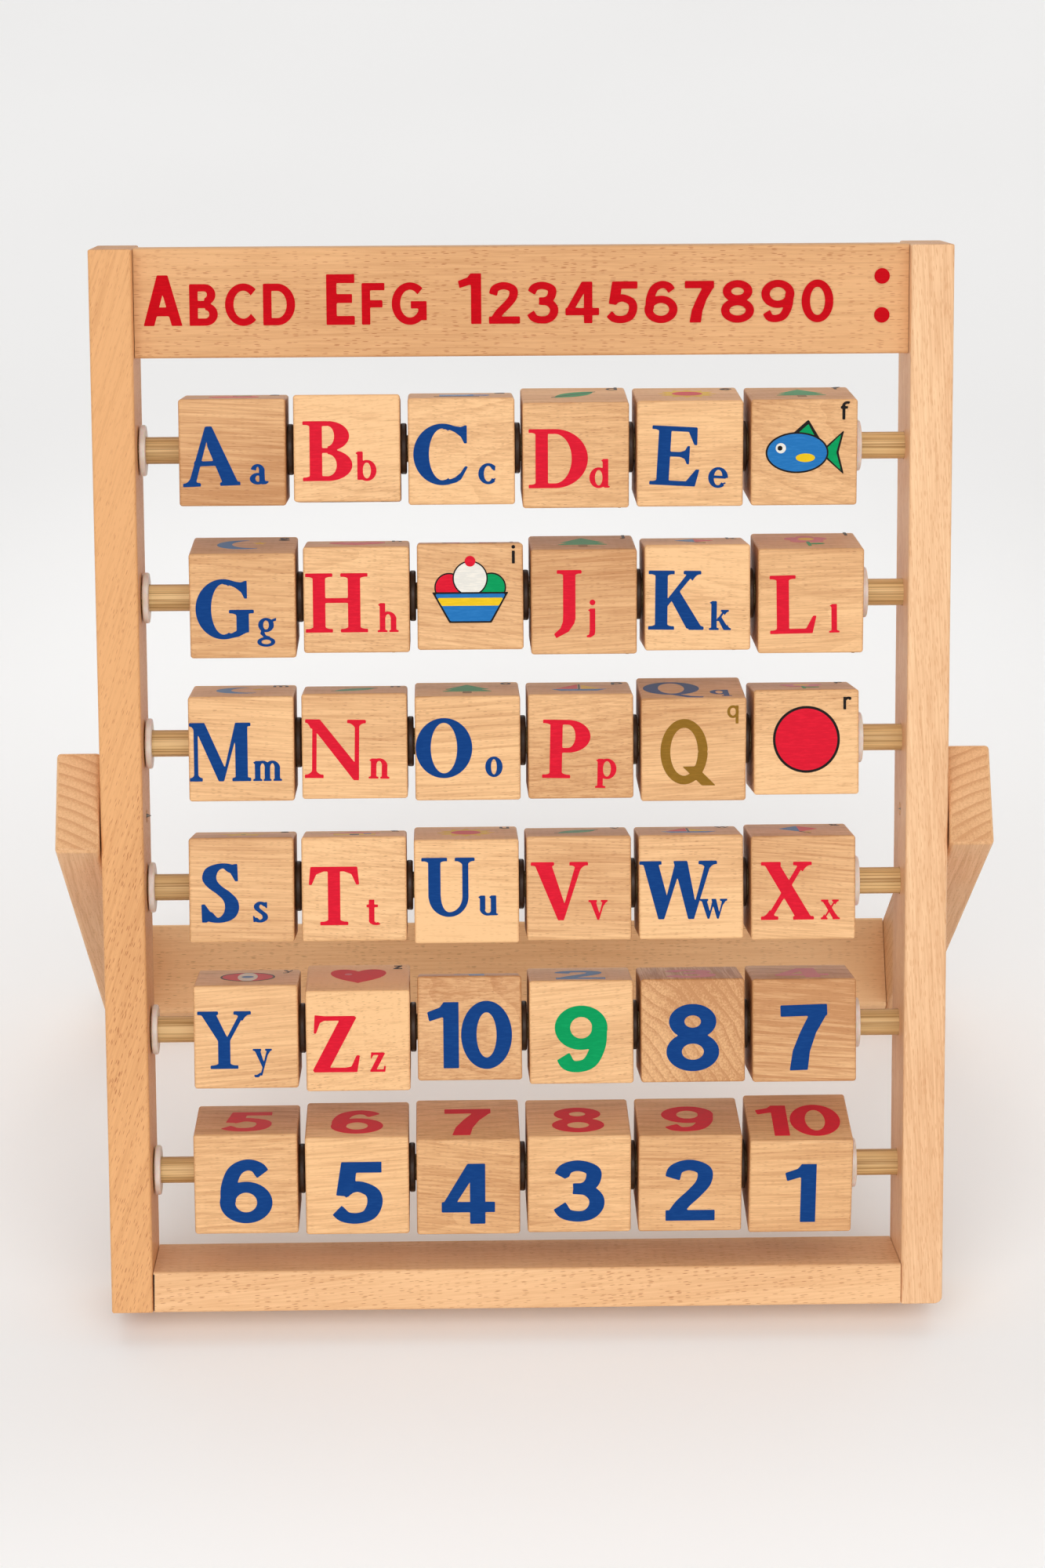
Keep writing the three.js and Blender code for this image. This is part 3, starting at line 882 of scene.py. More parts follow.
NUMERALS = {
    "0": "a .385 .5 .385 .515 0 360 1",
    "1": "v .36 1.08 0 1|p .36 1 .25 1 .19 .92 0 .85 .03 .71 .22 .77 .36 .77",
    "2": "c 1 .125 .7 .182 .85 .388 .915 .604 .83 .604 .64 .467 .46 .285 .28 .16 .1|h .023 .775 0",
    "3": "c 1 .116 .74 .197 .87 .394 .915 .603 .83 .592 .65 .476 .555 .302 .54"
         "|c 1 .302 .54 .522 .51 .65 .39 .65 .24 .545 .12 .371 .085 .186 .13 .093 .26",
    "4": "v .55 1 0 1|p .396 1 .616 1 .231 .36 0 .36 0 .3|h 0 .814 .28",
    "5": "h .168 .768 1|p .156 1 .396 1 .36 .62 .264 .44 .072 .46"
         "|c 1 .168 .5 .288 .58 .444 .595 .624 .5 .66 .33 .576 .15 .396 .085 .204 .11 .084 .22",
    "6": "a .4 .32 .4 .33 0 360 1|c 1 .126 .32 .14 .58 .238 .82 .41 .915 .572 .88 .659 .77",
    "7": "h 0 .71 1|p .44 .86 .71 .86 .53 .56 .43 .28 .39 0 .115 0 .17 .3 .29 .58",
    "8": "a .4 .285 .4 .297 0 360 1|a .4 .745 .359 .268 0 360 1",
    "9": "a .4 .675 .4 .338 0 360 1|c 1 .679 .68 .655 .4 .541 .16 .374 .085 .208 .11 .125 .24",
}
FAR_OFF = 9.0
CURVE_STEPS = 90
SPARE = 2
LETTER_BOX = np.array([[-0.1, -0.4], [1.4, 1.1]])
SERIF_STROKES = (Stroke.TRIM, Stroke.FOOT, Stroke.HEAD)
SIDES = {"L": 1, "R": -1}


@dataclass(frozen=True)
class Plane:
    """Grid points of a flat drawing. Each shape gives its distance at all of them, negative inside."""

    x: Array
    y: Array

    def box(self, cx: float, cy: float, half_width: float, half_height: float) -> Array:
        """A level box: how far a point is past its sides or its ends, whichever is more."""
        return np.maximum(np.abs(self.x - cx) - half_width, np.abs(self.y - cy) - half_height)

    def disc(self, cx: float, cy: float, r: float) -> Array:
        """A disc: the distance from its middle less its radius."""
        return np.hypot(self.x - cx, self.y - cy) - r

    def oval(self, cx: Array | float, cy: Array | float, rx: float, ry: float) -> Array:
        """An oval, roughly: (length over the radii - 1) times the lesser radius."""
        return (np.hypot((self.x - cx) / rx, (self.y - cy) / ry) - 1) * min(rx, ry)

    def ring(self, cx: float, cy: float, rx: float, ry: float, half_width: float) -> Array:
        """An oval ring: the distance from the oval, either way, less half its width."""
        return np.abs(self.oval(cx, cy, rx, ry)) - half_width

    def poly(self, *spots: float) -> Array:
        """A polygon: the least distance from any side.

        Inside, a level line from a point crosses an odd number of sides.

        Args:
            spots: Each corner's x and y, in order.

        Returns:
            The signed distances.
        """
        a = np.array(spots).reshape(-1, 2)
        b = np.roll(a, -1, 0)
        dx, dy = self.x[..., None] - a[:, 0], self.y[..., None] - a[:, 1]
        ex, ey = (b - a).T
        t = np.clip((dx * ex + dy * ey) / (ex**2 + ey**2), 0, 1)
        away = np.hypot(dx - t * ex, dy - t * ey).min(-1)
        above = (a[:, 1] <= self.y[..., None]) != (b[:, 1] <= self.y[..., None])
        cross = above & (dx < ex * dy / np.where(ey == 0, 1, ey))
        return np.where(cross.sum(-1) % 2 == 1, -away, away)

    def line(self, x0: float, y0: float, x1: float, y1: float, half_width: float) -> Array:
        """A straight line: the distance from a polygon of two corners, less half its width."""
        return self.poly(x0, y0, x1, y1) - half_width

    def star(self, cx: float, cy: float, outer: float, inner: float, count: float) -> Array:
        """A star of so many points: a polygon whose corners lie on two circles in turn.

        Args:
            cx: Its middle's x.
            cy: Its middle's y.
            outer: The points' radius.
            inner: The radius between them.
            count: How many points.

        Returns:
            The signed distances.
        """
        k = np.arange(2 * count)
        r, turn = np.where(k % 2 == 0, outer, inner), k * np.pi / count
        return self.poly(*np.stack([cx + r * np.sin(turn), cy + r * np.cos(turn)], -1).ravel())

    def crescent(self, cx: float, cy: float, r: float, shift: float) -> Array:
        """A crescent: a disc less a smaller one that stands beside it and a little higher."""
        share, rise = 0.92, 1.0
        return np.maximum(self.disc(cx, cy, r), -self.disc(cx + shift, cy + rise, r * share))

    def heart(self, cx: float, cy: float, r: float) -> Array:
        """A heart, roughly: (s squared + h squared - girth) cubed, less notch times s squared times h cubed.

        Args:
            cx: Its middle's x.
            cy: Its middle's y.
            r: Its radius.

        Returns:
            Signed values that grow outwards.
        """
        lift, girth, notch, steepness = 0.1, 0.8, 1.9, 0.4
        s, h = (self.x - cx) / r, (self.y - cy) / r + lift
        return ((s**2 + h**2 - girth) ** 3 - s**2 * h**3 * notch) * r * steepness

    def leaf(self, cx: float, cy: float, r: float) -> Array:
        """A slanting leaf: the way from its midrib, less a width that falls by the square of the way along.

        Args:
            cx: Its middle's x.
            cy: Its middle's y.
            r: Half its length.

        Returns:
            Signed values that grow outwards.
        """
        slimness = 0.42
        dx, dy = self.x - cx, self.y - cy
        along, across = (dx + dy) / math.sqrt(2), (dx - dy) / math.sqrt(2)
        return np.abs(across) - slimness * r * (1 - (along / r) ** 2)


@dataclass(frozen=True)
class Pen:
    """A broad pen: half width of its stems, half height of its level strokes, and whether it draws serifs."""

    wide: float
    thin: float
    serifs: bool = False

    def part(self, share: float) -> float:
        """Gives a share of the stems' half width, or all of it for a pen without serifs."""
        return self.wide * (share if self.serifs else 1.0)

    def stroke(self, spec: str, plane: Plane) -> Array:
        """Works out how far points are from one stroke, negative inside.

        Args:
            spec: The stroke's kind and numbers, and L or R for a serif on one side only.
            plane: The points, in units of the letter's height.

        Returns:
            The signed distances, far off for a stroke that this pen leaves out.
        """
        letter, *words = spec.split()
        kind = Stroke(letter)
        if kind in SERIF_STROKES and not self.serifs:
            return np.full_like(plane.x, FAR_OFF)
        numbers = [float(word) for word in words if word not in SIDES]
        side = {"side": words[-1]} if words[-1] in SIDES else {}
        return getattr(self, kind.name.lower())(plane, *numbers, **side)

    def upright(self, plane: Plane, x: float, share: float, low: float, high: float) -> Array:
        """An upright bar, as wide as a share of the stems."""
        return plane.box(x, (low + high) / 2, self.part(share), (high - low) / 2)

    def level(self, plane: Plane, left: float, right: float, y: float) -> Array:
        """A level bar that keeps between the letter's foot and its head."""
        within = min(max(y, self.thin), 1 - self.thin)
        return plane.box((left + right) / 2, within, (right - left) / 2, self.thin)

    def slant(self, plane: Plane, x0: float, y0: float, x1: float, y1: float) -> Array:
        """A slanting bar that is cut level at both ends.

        Args:
            plane: The points.
            x0: Its start's x.
            y0: Its start's y.
            x1: Its end's x.
            y1: Its end's y.

        Returns:
            The signed distances.
        """
        slope = (x1 - x0) / (y1 - y0)
        across = np.abs(plane.x - x0 - (plane.y - y0) * slope) / math.hypot(1.0, slope) - self.wide
        return np.maximum(across, np.abs(plane.y - (y0 + y1) / 2) - abs(y1 - y0) / 2)

    def dot(self, plane: Plane, x: float, y: float, r: float) -> Array:
        """A dot."""
        return plane.disc(x, y, r)

    def patch(self, plane: Plane, *spots: float) -> Array:
        """A polygon."""
        return plane.poly(*spots)

    def trim(self, plane: Plane, *spots: float) -> Array:
        """A polygon that only a pen with serifs draws."""
        return plane.poly(*spots)

    def bow(self, plane: Plane, cx: float, cy: float, rx: float, ry: float, start: float, stop: float,
            share: float) -> Array:
        """The part of an oval ring between two angles.

        Args:
            plane: The points.
            cx: Its middle's x.
            cy: Its middle's y.
            rx: Its outer radius along x.
            ry: Its outer radius along y.
            start: The first angle, in degrees from the right and upwards.
            stop: The last angle.
            share: How wide its sides are, as a share of the stems.

        Returns:
            The signed distances.
        """
        hole = plane.oval(cx, cy, rx - 2 * self.part(share), ry - 2 * self.thin)
        angle = np.degrees(np.arctan2((plane.y - cy) / ry, (plane.x - cx) / rx))
        off = np.abs((angle - (start + stop) / 2 + 180) % 360 - 180) - (stop - start) / 2
        return np.maximum.reduce([plane.oval(cx, cy, rx, ry), -hole, np.radians(off) * min(rx, ry)])

    def curve(self, plane: Plane, share: float, *spots: float) -> Array:
        """A smooth curve, drawn by an oval pen at many places along it and cut square at each end.

        It is a cubic spline, whose way at each spot is half the way from the spot before to the one after.

        Args:
            plane: The points.
            share: How wide it is, as a share of the stems.
            spots: Each spot's x and y, in order.

        Returns:
            The signed distances.
        """
        wide, spot = self.part(share), np.array(spots).reshape(-1, 2)
        end_reach = 1.7 * wide
        reach = np.vstack([2 * spot[0] - spot[1], spot, 2 * spot[-1] - spot[-2]])
        at = np.linspace(0, len(spot) - 1, CURVE_STEPS)
        k = np.minimum(at.astype(int), len(spot) - 2)
        u = (at - k)[:, None]
        p0, p1, p2, p3 = (reach[k + j] for j in range(4))
        square, cube = 2 * p0 - 5 * p1 + 4 * p2 - p3, 3 * p1 - p0 - 3 * p2 + p3
        xy = 0.5 * (2 * p1 + (p2 - p0) * u + square * u**2 + cube * u**3)
        each = Plane(plane.x[..., None], plane.y[..., None])
        away = each.oval(xy[:, 0], xy[:, 1], wide, self.thin).min(-1)
        for end, inner in ((xy[0], xy[1]), (xy[-1], xy[-2])):
            out = (end - inner) / np.hypot(*(end - inner))
            beyond = (plane.x - end[0]) * out[0] + (plane.y - end[1]) * out[1]
            near = plane.disc(*end, end_reach) < 0
            away = np.where(near, np.maximum(away, beyond), away)
        return away

    def foot(self, plane: Plane, x: float, half: float, edge: float = 0.0, side: str = "") -> Array:
        """A serif that stands on an edge."""
        return self.serif((plane.x - x) / half, plane.y - edge, half, side)

    def head(self, plane: Plane, x: float, half: float, edge: float = 1.0, side: str = "") -> Array:
        """A serif that hangs from an edge."""
        return self.serif((plane.x - x) / half, edge - plane.y, half, side)

    def serif(self, t: Array, rise: Array, half: float, side: str) -> Array:
        """A serif that swells to its stem by the square of the way in.

        Args:
            t: How far the points are from its middle, in units of its half length.
            rise: How far they are from its edge.
            half: Its half length.
            side: L or R for a serif on one side only, or nothing.

        Returns:
            The signed distances.
        """
        least, swell, narrowing, past_stem = 0.75, 1.4, 1.2, 0.2
        high = self.thin * (least + swell * np.clip(1.0 - np.abs(t) * narrowing, 0, 1) ** 2)
        across = np.abs(t) - 1
        if side:
            across = np.maximum(across, t * SIDES[side] - past_stem)
        return np.maximum(np.abs(rise - high) - high, across * half)


@dataclass(frozen=True)
class Sheet:
    """A flat printed shape: negative inside, on a grid of face coordinates in millimetres."""

    u: Array
    v: Array
    value: Array
    ink: Ink

    def filled(self) -> tuple[Array, Array]:
        """Fills the inside with squares that end on the outline.

        Each cell of the grid that the shape touches has one point: its middle where it is all inside, else
        the mean of the outline's crossings of its edges. Each grid point inside makes a square of the four
        cells round it.

        Returns:
            Rows of u and v, and rows of four point numbers.
        """
        f, nu, nv = self.value, len(self.u), len(self.v)
        inside = f < 0
        total = np.zeros((nu - 1, nv - 1, 2))
        count = np.zeros((nu - 1, nv - 1))
        spot = np.stack(np.meshgrid(self.u, self.v, indexing="ij"), -1)
        low, high = slice(None, -1), slice(1, None)
        corners = [(low, low), (high, low), (high, high), (low, high)]
        for a, b in zip(corners, corners[1:] + corners[:1]):
            cross = inside[a] != inside[b]
            part = np.where(cross, f[a] / np.where(cross, f[a] - f[b], 1.0), 0.0)[..., None]
            total += np.where(cross[..., None], spot[a] + part * (spot[b] - spot[a]), 0.0)
            count += cross
        middle = 0.5 * (spot[low, low] + spot[high, high])
        point = np.where(count[..., None] > 0, total / np.maximum(count, 1)[..., None], middle)
        i, j = np.nonzero(inside[1:-1, 1:-1])
        quads = (i * (nv - 1) + j)[:, None] + [0, nv - 1, nv, 1]
        used, quads = np.unique(quads, return_inverse=True)
        return point.reshape(-1, 2)[used], quads.reshape(-1, 4)

    def slab(self, lift: float, depth: float) -> Surface:
        """Makes the closed slab of ink, facing -y, with its outer skin at the lift given.

        Args:
            lift: Distance of the skin from the plane y = 0, towards -y, in millimetres.
            depth: Thickness in millimetres.

        Returns:
            The slab, in millimetres, with x as u and z as v, and with its ink's number at each face.
        """
        uv, quads = self.filled()
        count = len(uv)
        skin = np.insert(uv, 1, -lift, axis=1)
        edges = np.concatenate([quads[:, [a, (a + 1) % 4]] for a in range(4)])
        key, back = edges[:, 0] * count + edges[:, 1], edges[:, 1] * count + edges[:, 0]
        rim = edges[~np.isin(key, back)]
        walls = np.stack([rim[:, 1], rim[:, 0], rim[:, 0] + count, rim[:, 1] + count], -1)
        faces = np.concatenate([quads, quads[:, ::-1] + count, walls])
        inks = np.full(len(faces), list(Ink).index(self.ink))
        return Surface(np.concatenate([skin, skin + [0.0, depth, 0.0]]), [faces], inks=inks)


def grid(low: Array, high: Array, step: float) -> tuple[Array, Array]:
    """Gives grid lines that reach a little past a box, in millimetres."""
    u, v = (np.arange(a - SPARE * step, b + (SPARE + 1) * step, step) for a, b in zip(low, high))
    return u, v


@dataclass(frozen=True)
class Lettering:
    """A kind of lettering: its letters' strokes, its pen, its capitals' height and its grid step, in mm."""

    strokes: dict[str, str]
    pen: Pen
    height: float
    step: float

    def letter(self, sign: str, ink: Ink, anchor: Spot, align: Align = Align.LEFT) -> Sheet:
        """Draws a letter: at each grid point the least distance from any of its strokes.

        Args:
            sign: The letter or figure.
            ink: The colour.
            anchor: Where the letter's box and the line that it stands on meet, in millimetres.
            align: Which part of the box stands there.

        Returns:
            The printed shape.
        """
        h = self.height
        u, v = grid(*(LETTER_BOX * h), self.step)
        plane = Plane(*np.meshgrid(u / h, v / h, indexing="ij"))
        strokes = self.strokes[sign].split("|")
        value = np.minimum.reduce([self.pen.stroke(stroke, plane) for stroke in strokes])
        i, j = (slice(k.min() - SPARE, k.max() + SPARE + 1) for k in np.nonzero(value < 0))
        u, v, value = u[i], v[j], value[i, j]
        left, right = u[SPARE], u[-SPARE - 1]
        return Sheet(u + anchor[0] - left - align.value * (right - left), v + anchor[1], value, ink)


CAPITALS = Lettering(SERIF_CAPS, Pen(0.105, 0.041, True), 20.8, 0.31)
SMALLS = Lettering(SERIF_SMALL, Pen(0.096, 0.046, True), 10.2, 0.22)
CORNERS = Lettering(SERIF_SMALL, Pen(0.08, 0.07), 6.4, 0.18)
PLAIN_CAPITALS = Lettering(SANS_CAPS, Pen(0.075, 0.068), 23.2, 0.36)
FIGURES = Lettering(NUMERALS, Pen(0.117, 0.087), 23.6, 0.33)
TITLE_FIRST = Lettering(SANS_CAPS | NUMERALS, Pen(0.102, 0.088), 17.5, 0.28)
TITLE_REST = Lettering(SANS_CAPS | NUMERALS, Pen(0.102, 0.088), 14.4, 0.28)


# Pictures: plain common figures, each a row of inks and simple shapes in millimetres from the face's middle

MOTIFS = {
    "fish": "BLACK poly 5.2 -1 14 6.9 12 -1 14 -8.9|GREEN poly 6.4 -1 13 5.5 11.2 -1 13 -7.5"
            "|BLACK poly -5.4 4.6 1.4 10.6 5.6 3.6|GREEN poly -3.6 4.6 1.4 9 4.2 3.6"
            "|BLACK oval -2.5 -1 11 7.2|SKY oval -2.5 -1 10.4 6.6|WHITE disc -8.2 .6 1.8"
            "|BLACK disc -8.5 .6 .9|YELLOW oval .4 -2.8 3.4 1.5",
    "cone": "BLACK disc -7.4 2.2 5.2|RED disc -7.4 2.2 4.7|BLACK disc 7.4 2.2 5.2|GREEN disc 7.4 2.2 4.7"
            "|BLACK disc 0 5.4 6.2|WHITE disc 0 5.4 5.7|BLACK poly -13.4 .6 13.4 .6 7.4 -10.2 -7.4 -10.2"
            "|SKY poly -12.4 0 12.4 0 7 -9.6 -7 -9.6|YELLOW poly -11.6 -1.4 11.6 -1.4 10 -4.2 -10 -4.2"
            "|RED disc 0 11.4 1.9",
    "disc": "RED disc 0 0 11|BLACK ring 0 0 11.4 11.4 .45",
    "star": "YELLOW star 0 0 10 4.6 5|BLACK disc 0 0 1",
    "sun": "YELLOW star 0 0 10.5 7.2 12|RED disc 0 0 5.4",
    "moon": "SKY crescent 0 0 9.5 4.5|YELLOW star 5.5 3 2.6 1.2 5",
    "heart": "RED heart 0 0 9|PINK disc -3.6 3.4 1.4",
    "tree": "GREEN poly -8 -2 8 -2 0 10|GREEN poly -9 -7 9 -7 0 4|GOLD box 0 -9.4 1.6 2.4",
    "house": "YELLOW box 0 -4 7.5 5|RED poly -9.5 1 9.5 1 0 9.5|BLACK box 0 -6 1.7 3"
             "|SKY box 4.6 -2.6 1.4 1.4",
    "boat": "SKY poly -10 -4 10 -4 6.5 -9 -6.5 -9|RED poly -.5 -3 -.5 9.5 -8 -3"
            "|YELLOW poly .8 -3 .8 8 7.4 -3|BLACK box .1 2 .35 7.6",
    "flower": "PINK disc 0 7 3.2|PINK disc 4.4 3.6 3.2|PINK disc 2.8 -1.4 3.2|PINK disc -2.8 -1.4 3.2"
              "|PINK disc -4.4 3.6 3.2|YELLOW disc 0 2.6 2.9|GREEN box 0 -8 .6 4.6"
              "|GREEN oval 2.8 -8 2.8 1.2",
    "apple": "RED disc -2.8 -1.5 6.2|RED disc 2.8 -1.5 6.2|GREEN oval 3 7 3.2 1.5|GOLD box 0 6 .5 2.6",
    "cup": "SKY box -1.5 -1 6 6.4|WHITE box -1.5 2 6 .8|SKY ring 6 -1 3.4 3.6 .8|BLACK box -1.5 -8.4 8 .6",
    "ball": "RED disc 0 0 9.5|WHITE oval 0 0 3.6 9.5|BLACK ring 0 0 9.5 9.5 .35|SKY disc 0 0 2.2",
    "leaf": "GREEN leaf 0 0 10|BLACK line -8 -6.5 7.6 6.4 .35",
    "kite": "RED poly 0 10.5 7 2 0 -6|SKY poly 0 10.5 -7 2 0 -6|BLACK line 0 -6 3.4 -11 .35"
            "|YELLOW poly 1.4 -8 4.4 -7 2.2 -9.6",
}
PICTURE_REACH = np.array([14.5, 13.0])


def figure(spec: str, centre: Spot, step: float) -> list[Sheet]:
    """Draws a picture from its row of inks and shapes.

    Args:
        spec: Shapes divided by bars, each an ink, a shape of the plane and its numbers.
        centre: The picture's middle on the face.
        step: Grid step in millimetres.

    Returns:
        The printed shapes, from the lowest.
    """
    made = []
    u, v = grid(-PICTURE_REACH, PICTURE_REACH, step)
    plane = Plane(*np.meshgrid(u, v, indexing="ij"))
    for shape in spec.split("|"):
        ink, kind, *words = shape.split()
        value = getattr(plane, kind)(*(float(word) for word in words))
        made.append(Sheet(u + centre[0], v + centre[1], value, Ink[ink]))
    return made


# Blocks and rows


@dataclass
class BlockForm:
    """A wooden cube with rounded edges and a bore along x, in millimetres."""

    size: float
    edge: float = 1.05
    bore: float = 5.25
    mouth: float = 0.5
    arc_steps: int = 4
    side_steps: int = 6
    end_rings: Triple = (0.0, 0.4, 1.0)

    def surface(self) -> Surface:
        """Carries the block's section round its bore.

        At each angle the square's inner outline has a point c and a normal n. The section runs from the
        bore's mouth out over the left end to c, round the edge at c + e sin(t) n, along the side, back over
        the right end and through the bore.

        Returns:
            The closed block about the origin, in millimetres.
        """
        half, e = self.size / 2, self.edge
        inner = half - e
        line = np.linspace(-1, 1, self.side_steps + 1)
        bow = np.linspace(0, np.pi / 2, self.arc_steps + 1)
        side_c = np.stack([np.full_like(line, inner), line * inner], -1)
        side_n = np.tile([1.0, 0.0], (len(line), 1))
        bow_c = np.tile([inner, inner], (len(bow) - 2, 1))
        bow_n = np.stack([np.cos(bow), np.sin(bow)], -1)[1:-1]
        quarters = [np.linalg.matrix_power(np.array([[0, 1], [-1, 0]]), q) for q in range(4)]
        c = np.concatenate([np.concatenate([side_c, bow_c]) @ q for q in quarters])
        n = np.concatenate([np.concatenate([side_n, bow_n]) @ q for q in quarters])
        count = len(c)
        around = np.arctan2(side_c[0, 1], side_c[0, 0]) + np.arange(count) * 2 * np.pi / count
        ray = np.stack([np.cos(around), np.sin(around)], -1)
        lip = ray * (self.bore + self.mouth)
        end = lip + (c - lip) * np.array(self.end_rings)[:, None, None]
        cos, sin = np.cos(bow[1:]), np.sin(bow[1:])[:, None, None]
        edge, edge_n = c + e * sin * n, sin * n
        step, flat, one = e * (1 - cos), np.zeros_like(end), np.ones(len(end))
        x = np.concatenate([-half * one, step - half, half - step[::-1], half * one,
                            [half - self.mouth, self.mouth - half]])
        yz = np.concatenate([end, edge, edge[::-1], end[::-1], [ray * self.bore] * 2])
        along = np.concatenate([-one, -cos, cos[::-1], one, [0.0, 0.0]])
        out = np.concatenate([flat, edge_n, edge_n[::-1], flat, [-ray] * 2])
        points, normals = (np.concatenate([np.repeat(a, count)[:, None], b.reshape(-1, 2)], 1)
                           for a, b in ((x, yz), (along, out)))
        return weld(points, grid_quads(len(x), count), normals)


@dataclass
class BlockPrint:
    """A printed block.

    Attributes:
        name: Its letter or number.
        front: Its side in front at rest.
        tone: How dark its wood is.
        rings: How strong the wood's rings are.
        askew: Its print's slant in degrees.
        across: For a block sawn across the grain, where in the wood it is cut from, in metres.
    """

    name: str
    _: KW_ONLY
    front: Face = Face.FRONT
    tone: float = 0.05
    rings: float = 0.42
    askew: float = 0.0
    across: Triple | None = None

    def faces(self, half: float) -> list[list[Sheet]]:
        """Draws the sides for half a block's size, from the own letter or number upwards and round."""
        raise NotImplementedError

    def sheets(self, size: float) -> list[tuple[int, list[Sheet]]]:
        """Draws the four sides as they lie at rest.

        Args:
            size: The block's size in millimetres.

        Returns:
            For each side, its quarter turns from the front at rest, and its printed shapes.
        """
        faces = self.faces(size / 2)
        return [((side - self.front.value) % len(Face), made) for side, made in enumerate(faces)]

    def grain(self, points: Array, number: int) -> Array:
        """Gives a block its own piece of the beech figure.

        The grain runs along x, tilted and rolled a little differently for each block, from a place of its
        own. In a block sawn across, the rings slant over its front.

        Args:
            points: Rows of x, y, z about the block's middle, in metres.
            number: The block's place among all blocks.

        Returns:
            Wood coordinates for each point.
        """
        first_seed, first_at, apart = 100, 0.3, 0.71
        most_roll, tilts, yaws, aside = 6.28, 0.05, 0.06, 0.02
        draw = np.random.default_rng(first_seed + number)
        roll, tilt, yaw = draw.uniform(0, most_roll), draw.normal(0, tilts), draw.normal(0, yaws)
        place = draw.uniform(-aside, aside, 3)
        if self.across is not None:
            roll, tilt, yaw, place = 0.0, 0.0, -math.pi / 2, np.array(self.across)
        wood = turned(turned(turned(points, Turn.Y_TO_Z, roll), Turn.X_TO_Z, tilt), Turn.X_TO_Y, yaw)
        return wood + np.array([number * apart + first_at, 0.0, 0.0]) + place


@dataclass
class LetterPrint(BlockPrint):
    """A letter's block: where its two letters start from the left, its two pictures, and its line's rise."""

    margin: float
    small_at: float
    first: str
    second: str
    _: KW_ONLY
    rise: float = 0.0
    base: float = -11.4
    corner_in: Spot = (2.8, 7.1)
    plain_at: Spot = (-2.0, -12.2)
    picture_at: Spot = (0.0, 1.0)
    picture_step: float = 0.42

    def corner(self, half: float, ink: Ink) -> Sheet:
        """Draws the small letter in a side's upper right corner."""
        at = (half - self.corner_in[0], half - self.corner_in[1])
        return CORNERS.letter(self.name, ink, at, Align.RIGHT)

    def faces(self, half: float) -> list[list[Sheet]]:
        """Draws the capital with its small letter, the two pictures, and a plain capital.

        Args:
            half: Half the block's size in millimetres.

        Returns:
            The printed shapes of each side.
        """
        ink = Ink.BLUE if (ord(self.name) - ord("a")) % 2 == 0 else Ink.RED
        base = self.rise + self.base
        pair = [CAPITALS.letter(self.name, ink, (self.margin - half, base)),
                SMALLS.letter(self.name, ink, (self.small_at - half, base))]
        pictures = [figure(MOTIFS[motif], self.picture_at, self.picture_step) + [self.corner(half, Ink.BLACK)]
                    for motif in (self.first, self.second)]
        plain = PLAIN_CAPITALS.letter(self.name, Ink.GOLD, self.plain_at, Align.MIDDLE)
        return [pair, *pictures, [plain, self.corner(half, Ink.GOLD)]]


@dataclass
class NumberPrint(BlockPrint):
    """A number's block.

    Attributes:
        own: The number's ink.
        above: The ink of the number on the side above it.
        base: The line that the figures stand on.
        meet: Where the two figures of a ten meet.
    """

    _: KW_ONLY
    own: Ink = Ink.BLUE
    above: Ink = Ink.RED
    base: float = -14.3
    meet: Spot = (-4.0, -2.8)

    def numeral(self, number: int, ink: Ink) -> list[Sheet]:
        """Draws a number in the middle of a side, from bold numerals side by side.

        Args:
            number: The number, from 1 to 10.
            ink: Its colour.

        Returns:
            The printed shapes.
        """
        digits = str(number)
        if len(digits) == 1:
            return [FIGURES.letter(digits, ink, (0.0, self.base), Align.MIDDLE)]
        return [FIGURES.letter(digit, ink, (at, self.base), align)
                for digit, at, align in zip(digits, self.meet, (Align.RIGHT, Align.LEFT))]

    def faces(self, half: float) -> list[list[Sheet]]:
        """Draws the number twice, and the number that makes eleven with it twice.

        Args:
            half: Half the block's size in millimetres.

        Returns:
            The printed shapes of each side.
        """
        number = int(self.name)
        other = 11 - number
        return [self.numeral(number, self.own), self.numeral(other, self.above),
                self.numeral(number, Ink.GREEN), self.numeral(other, Ink.GOLD)]


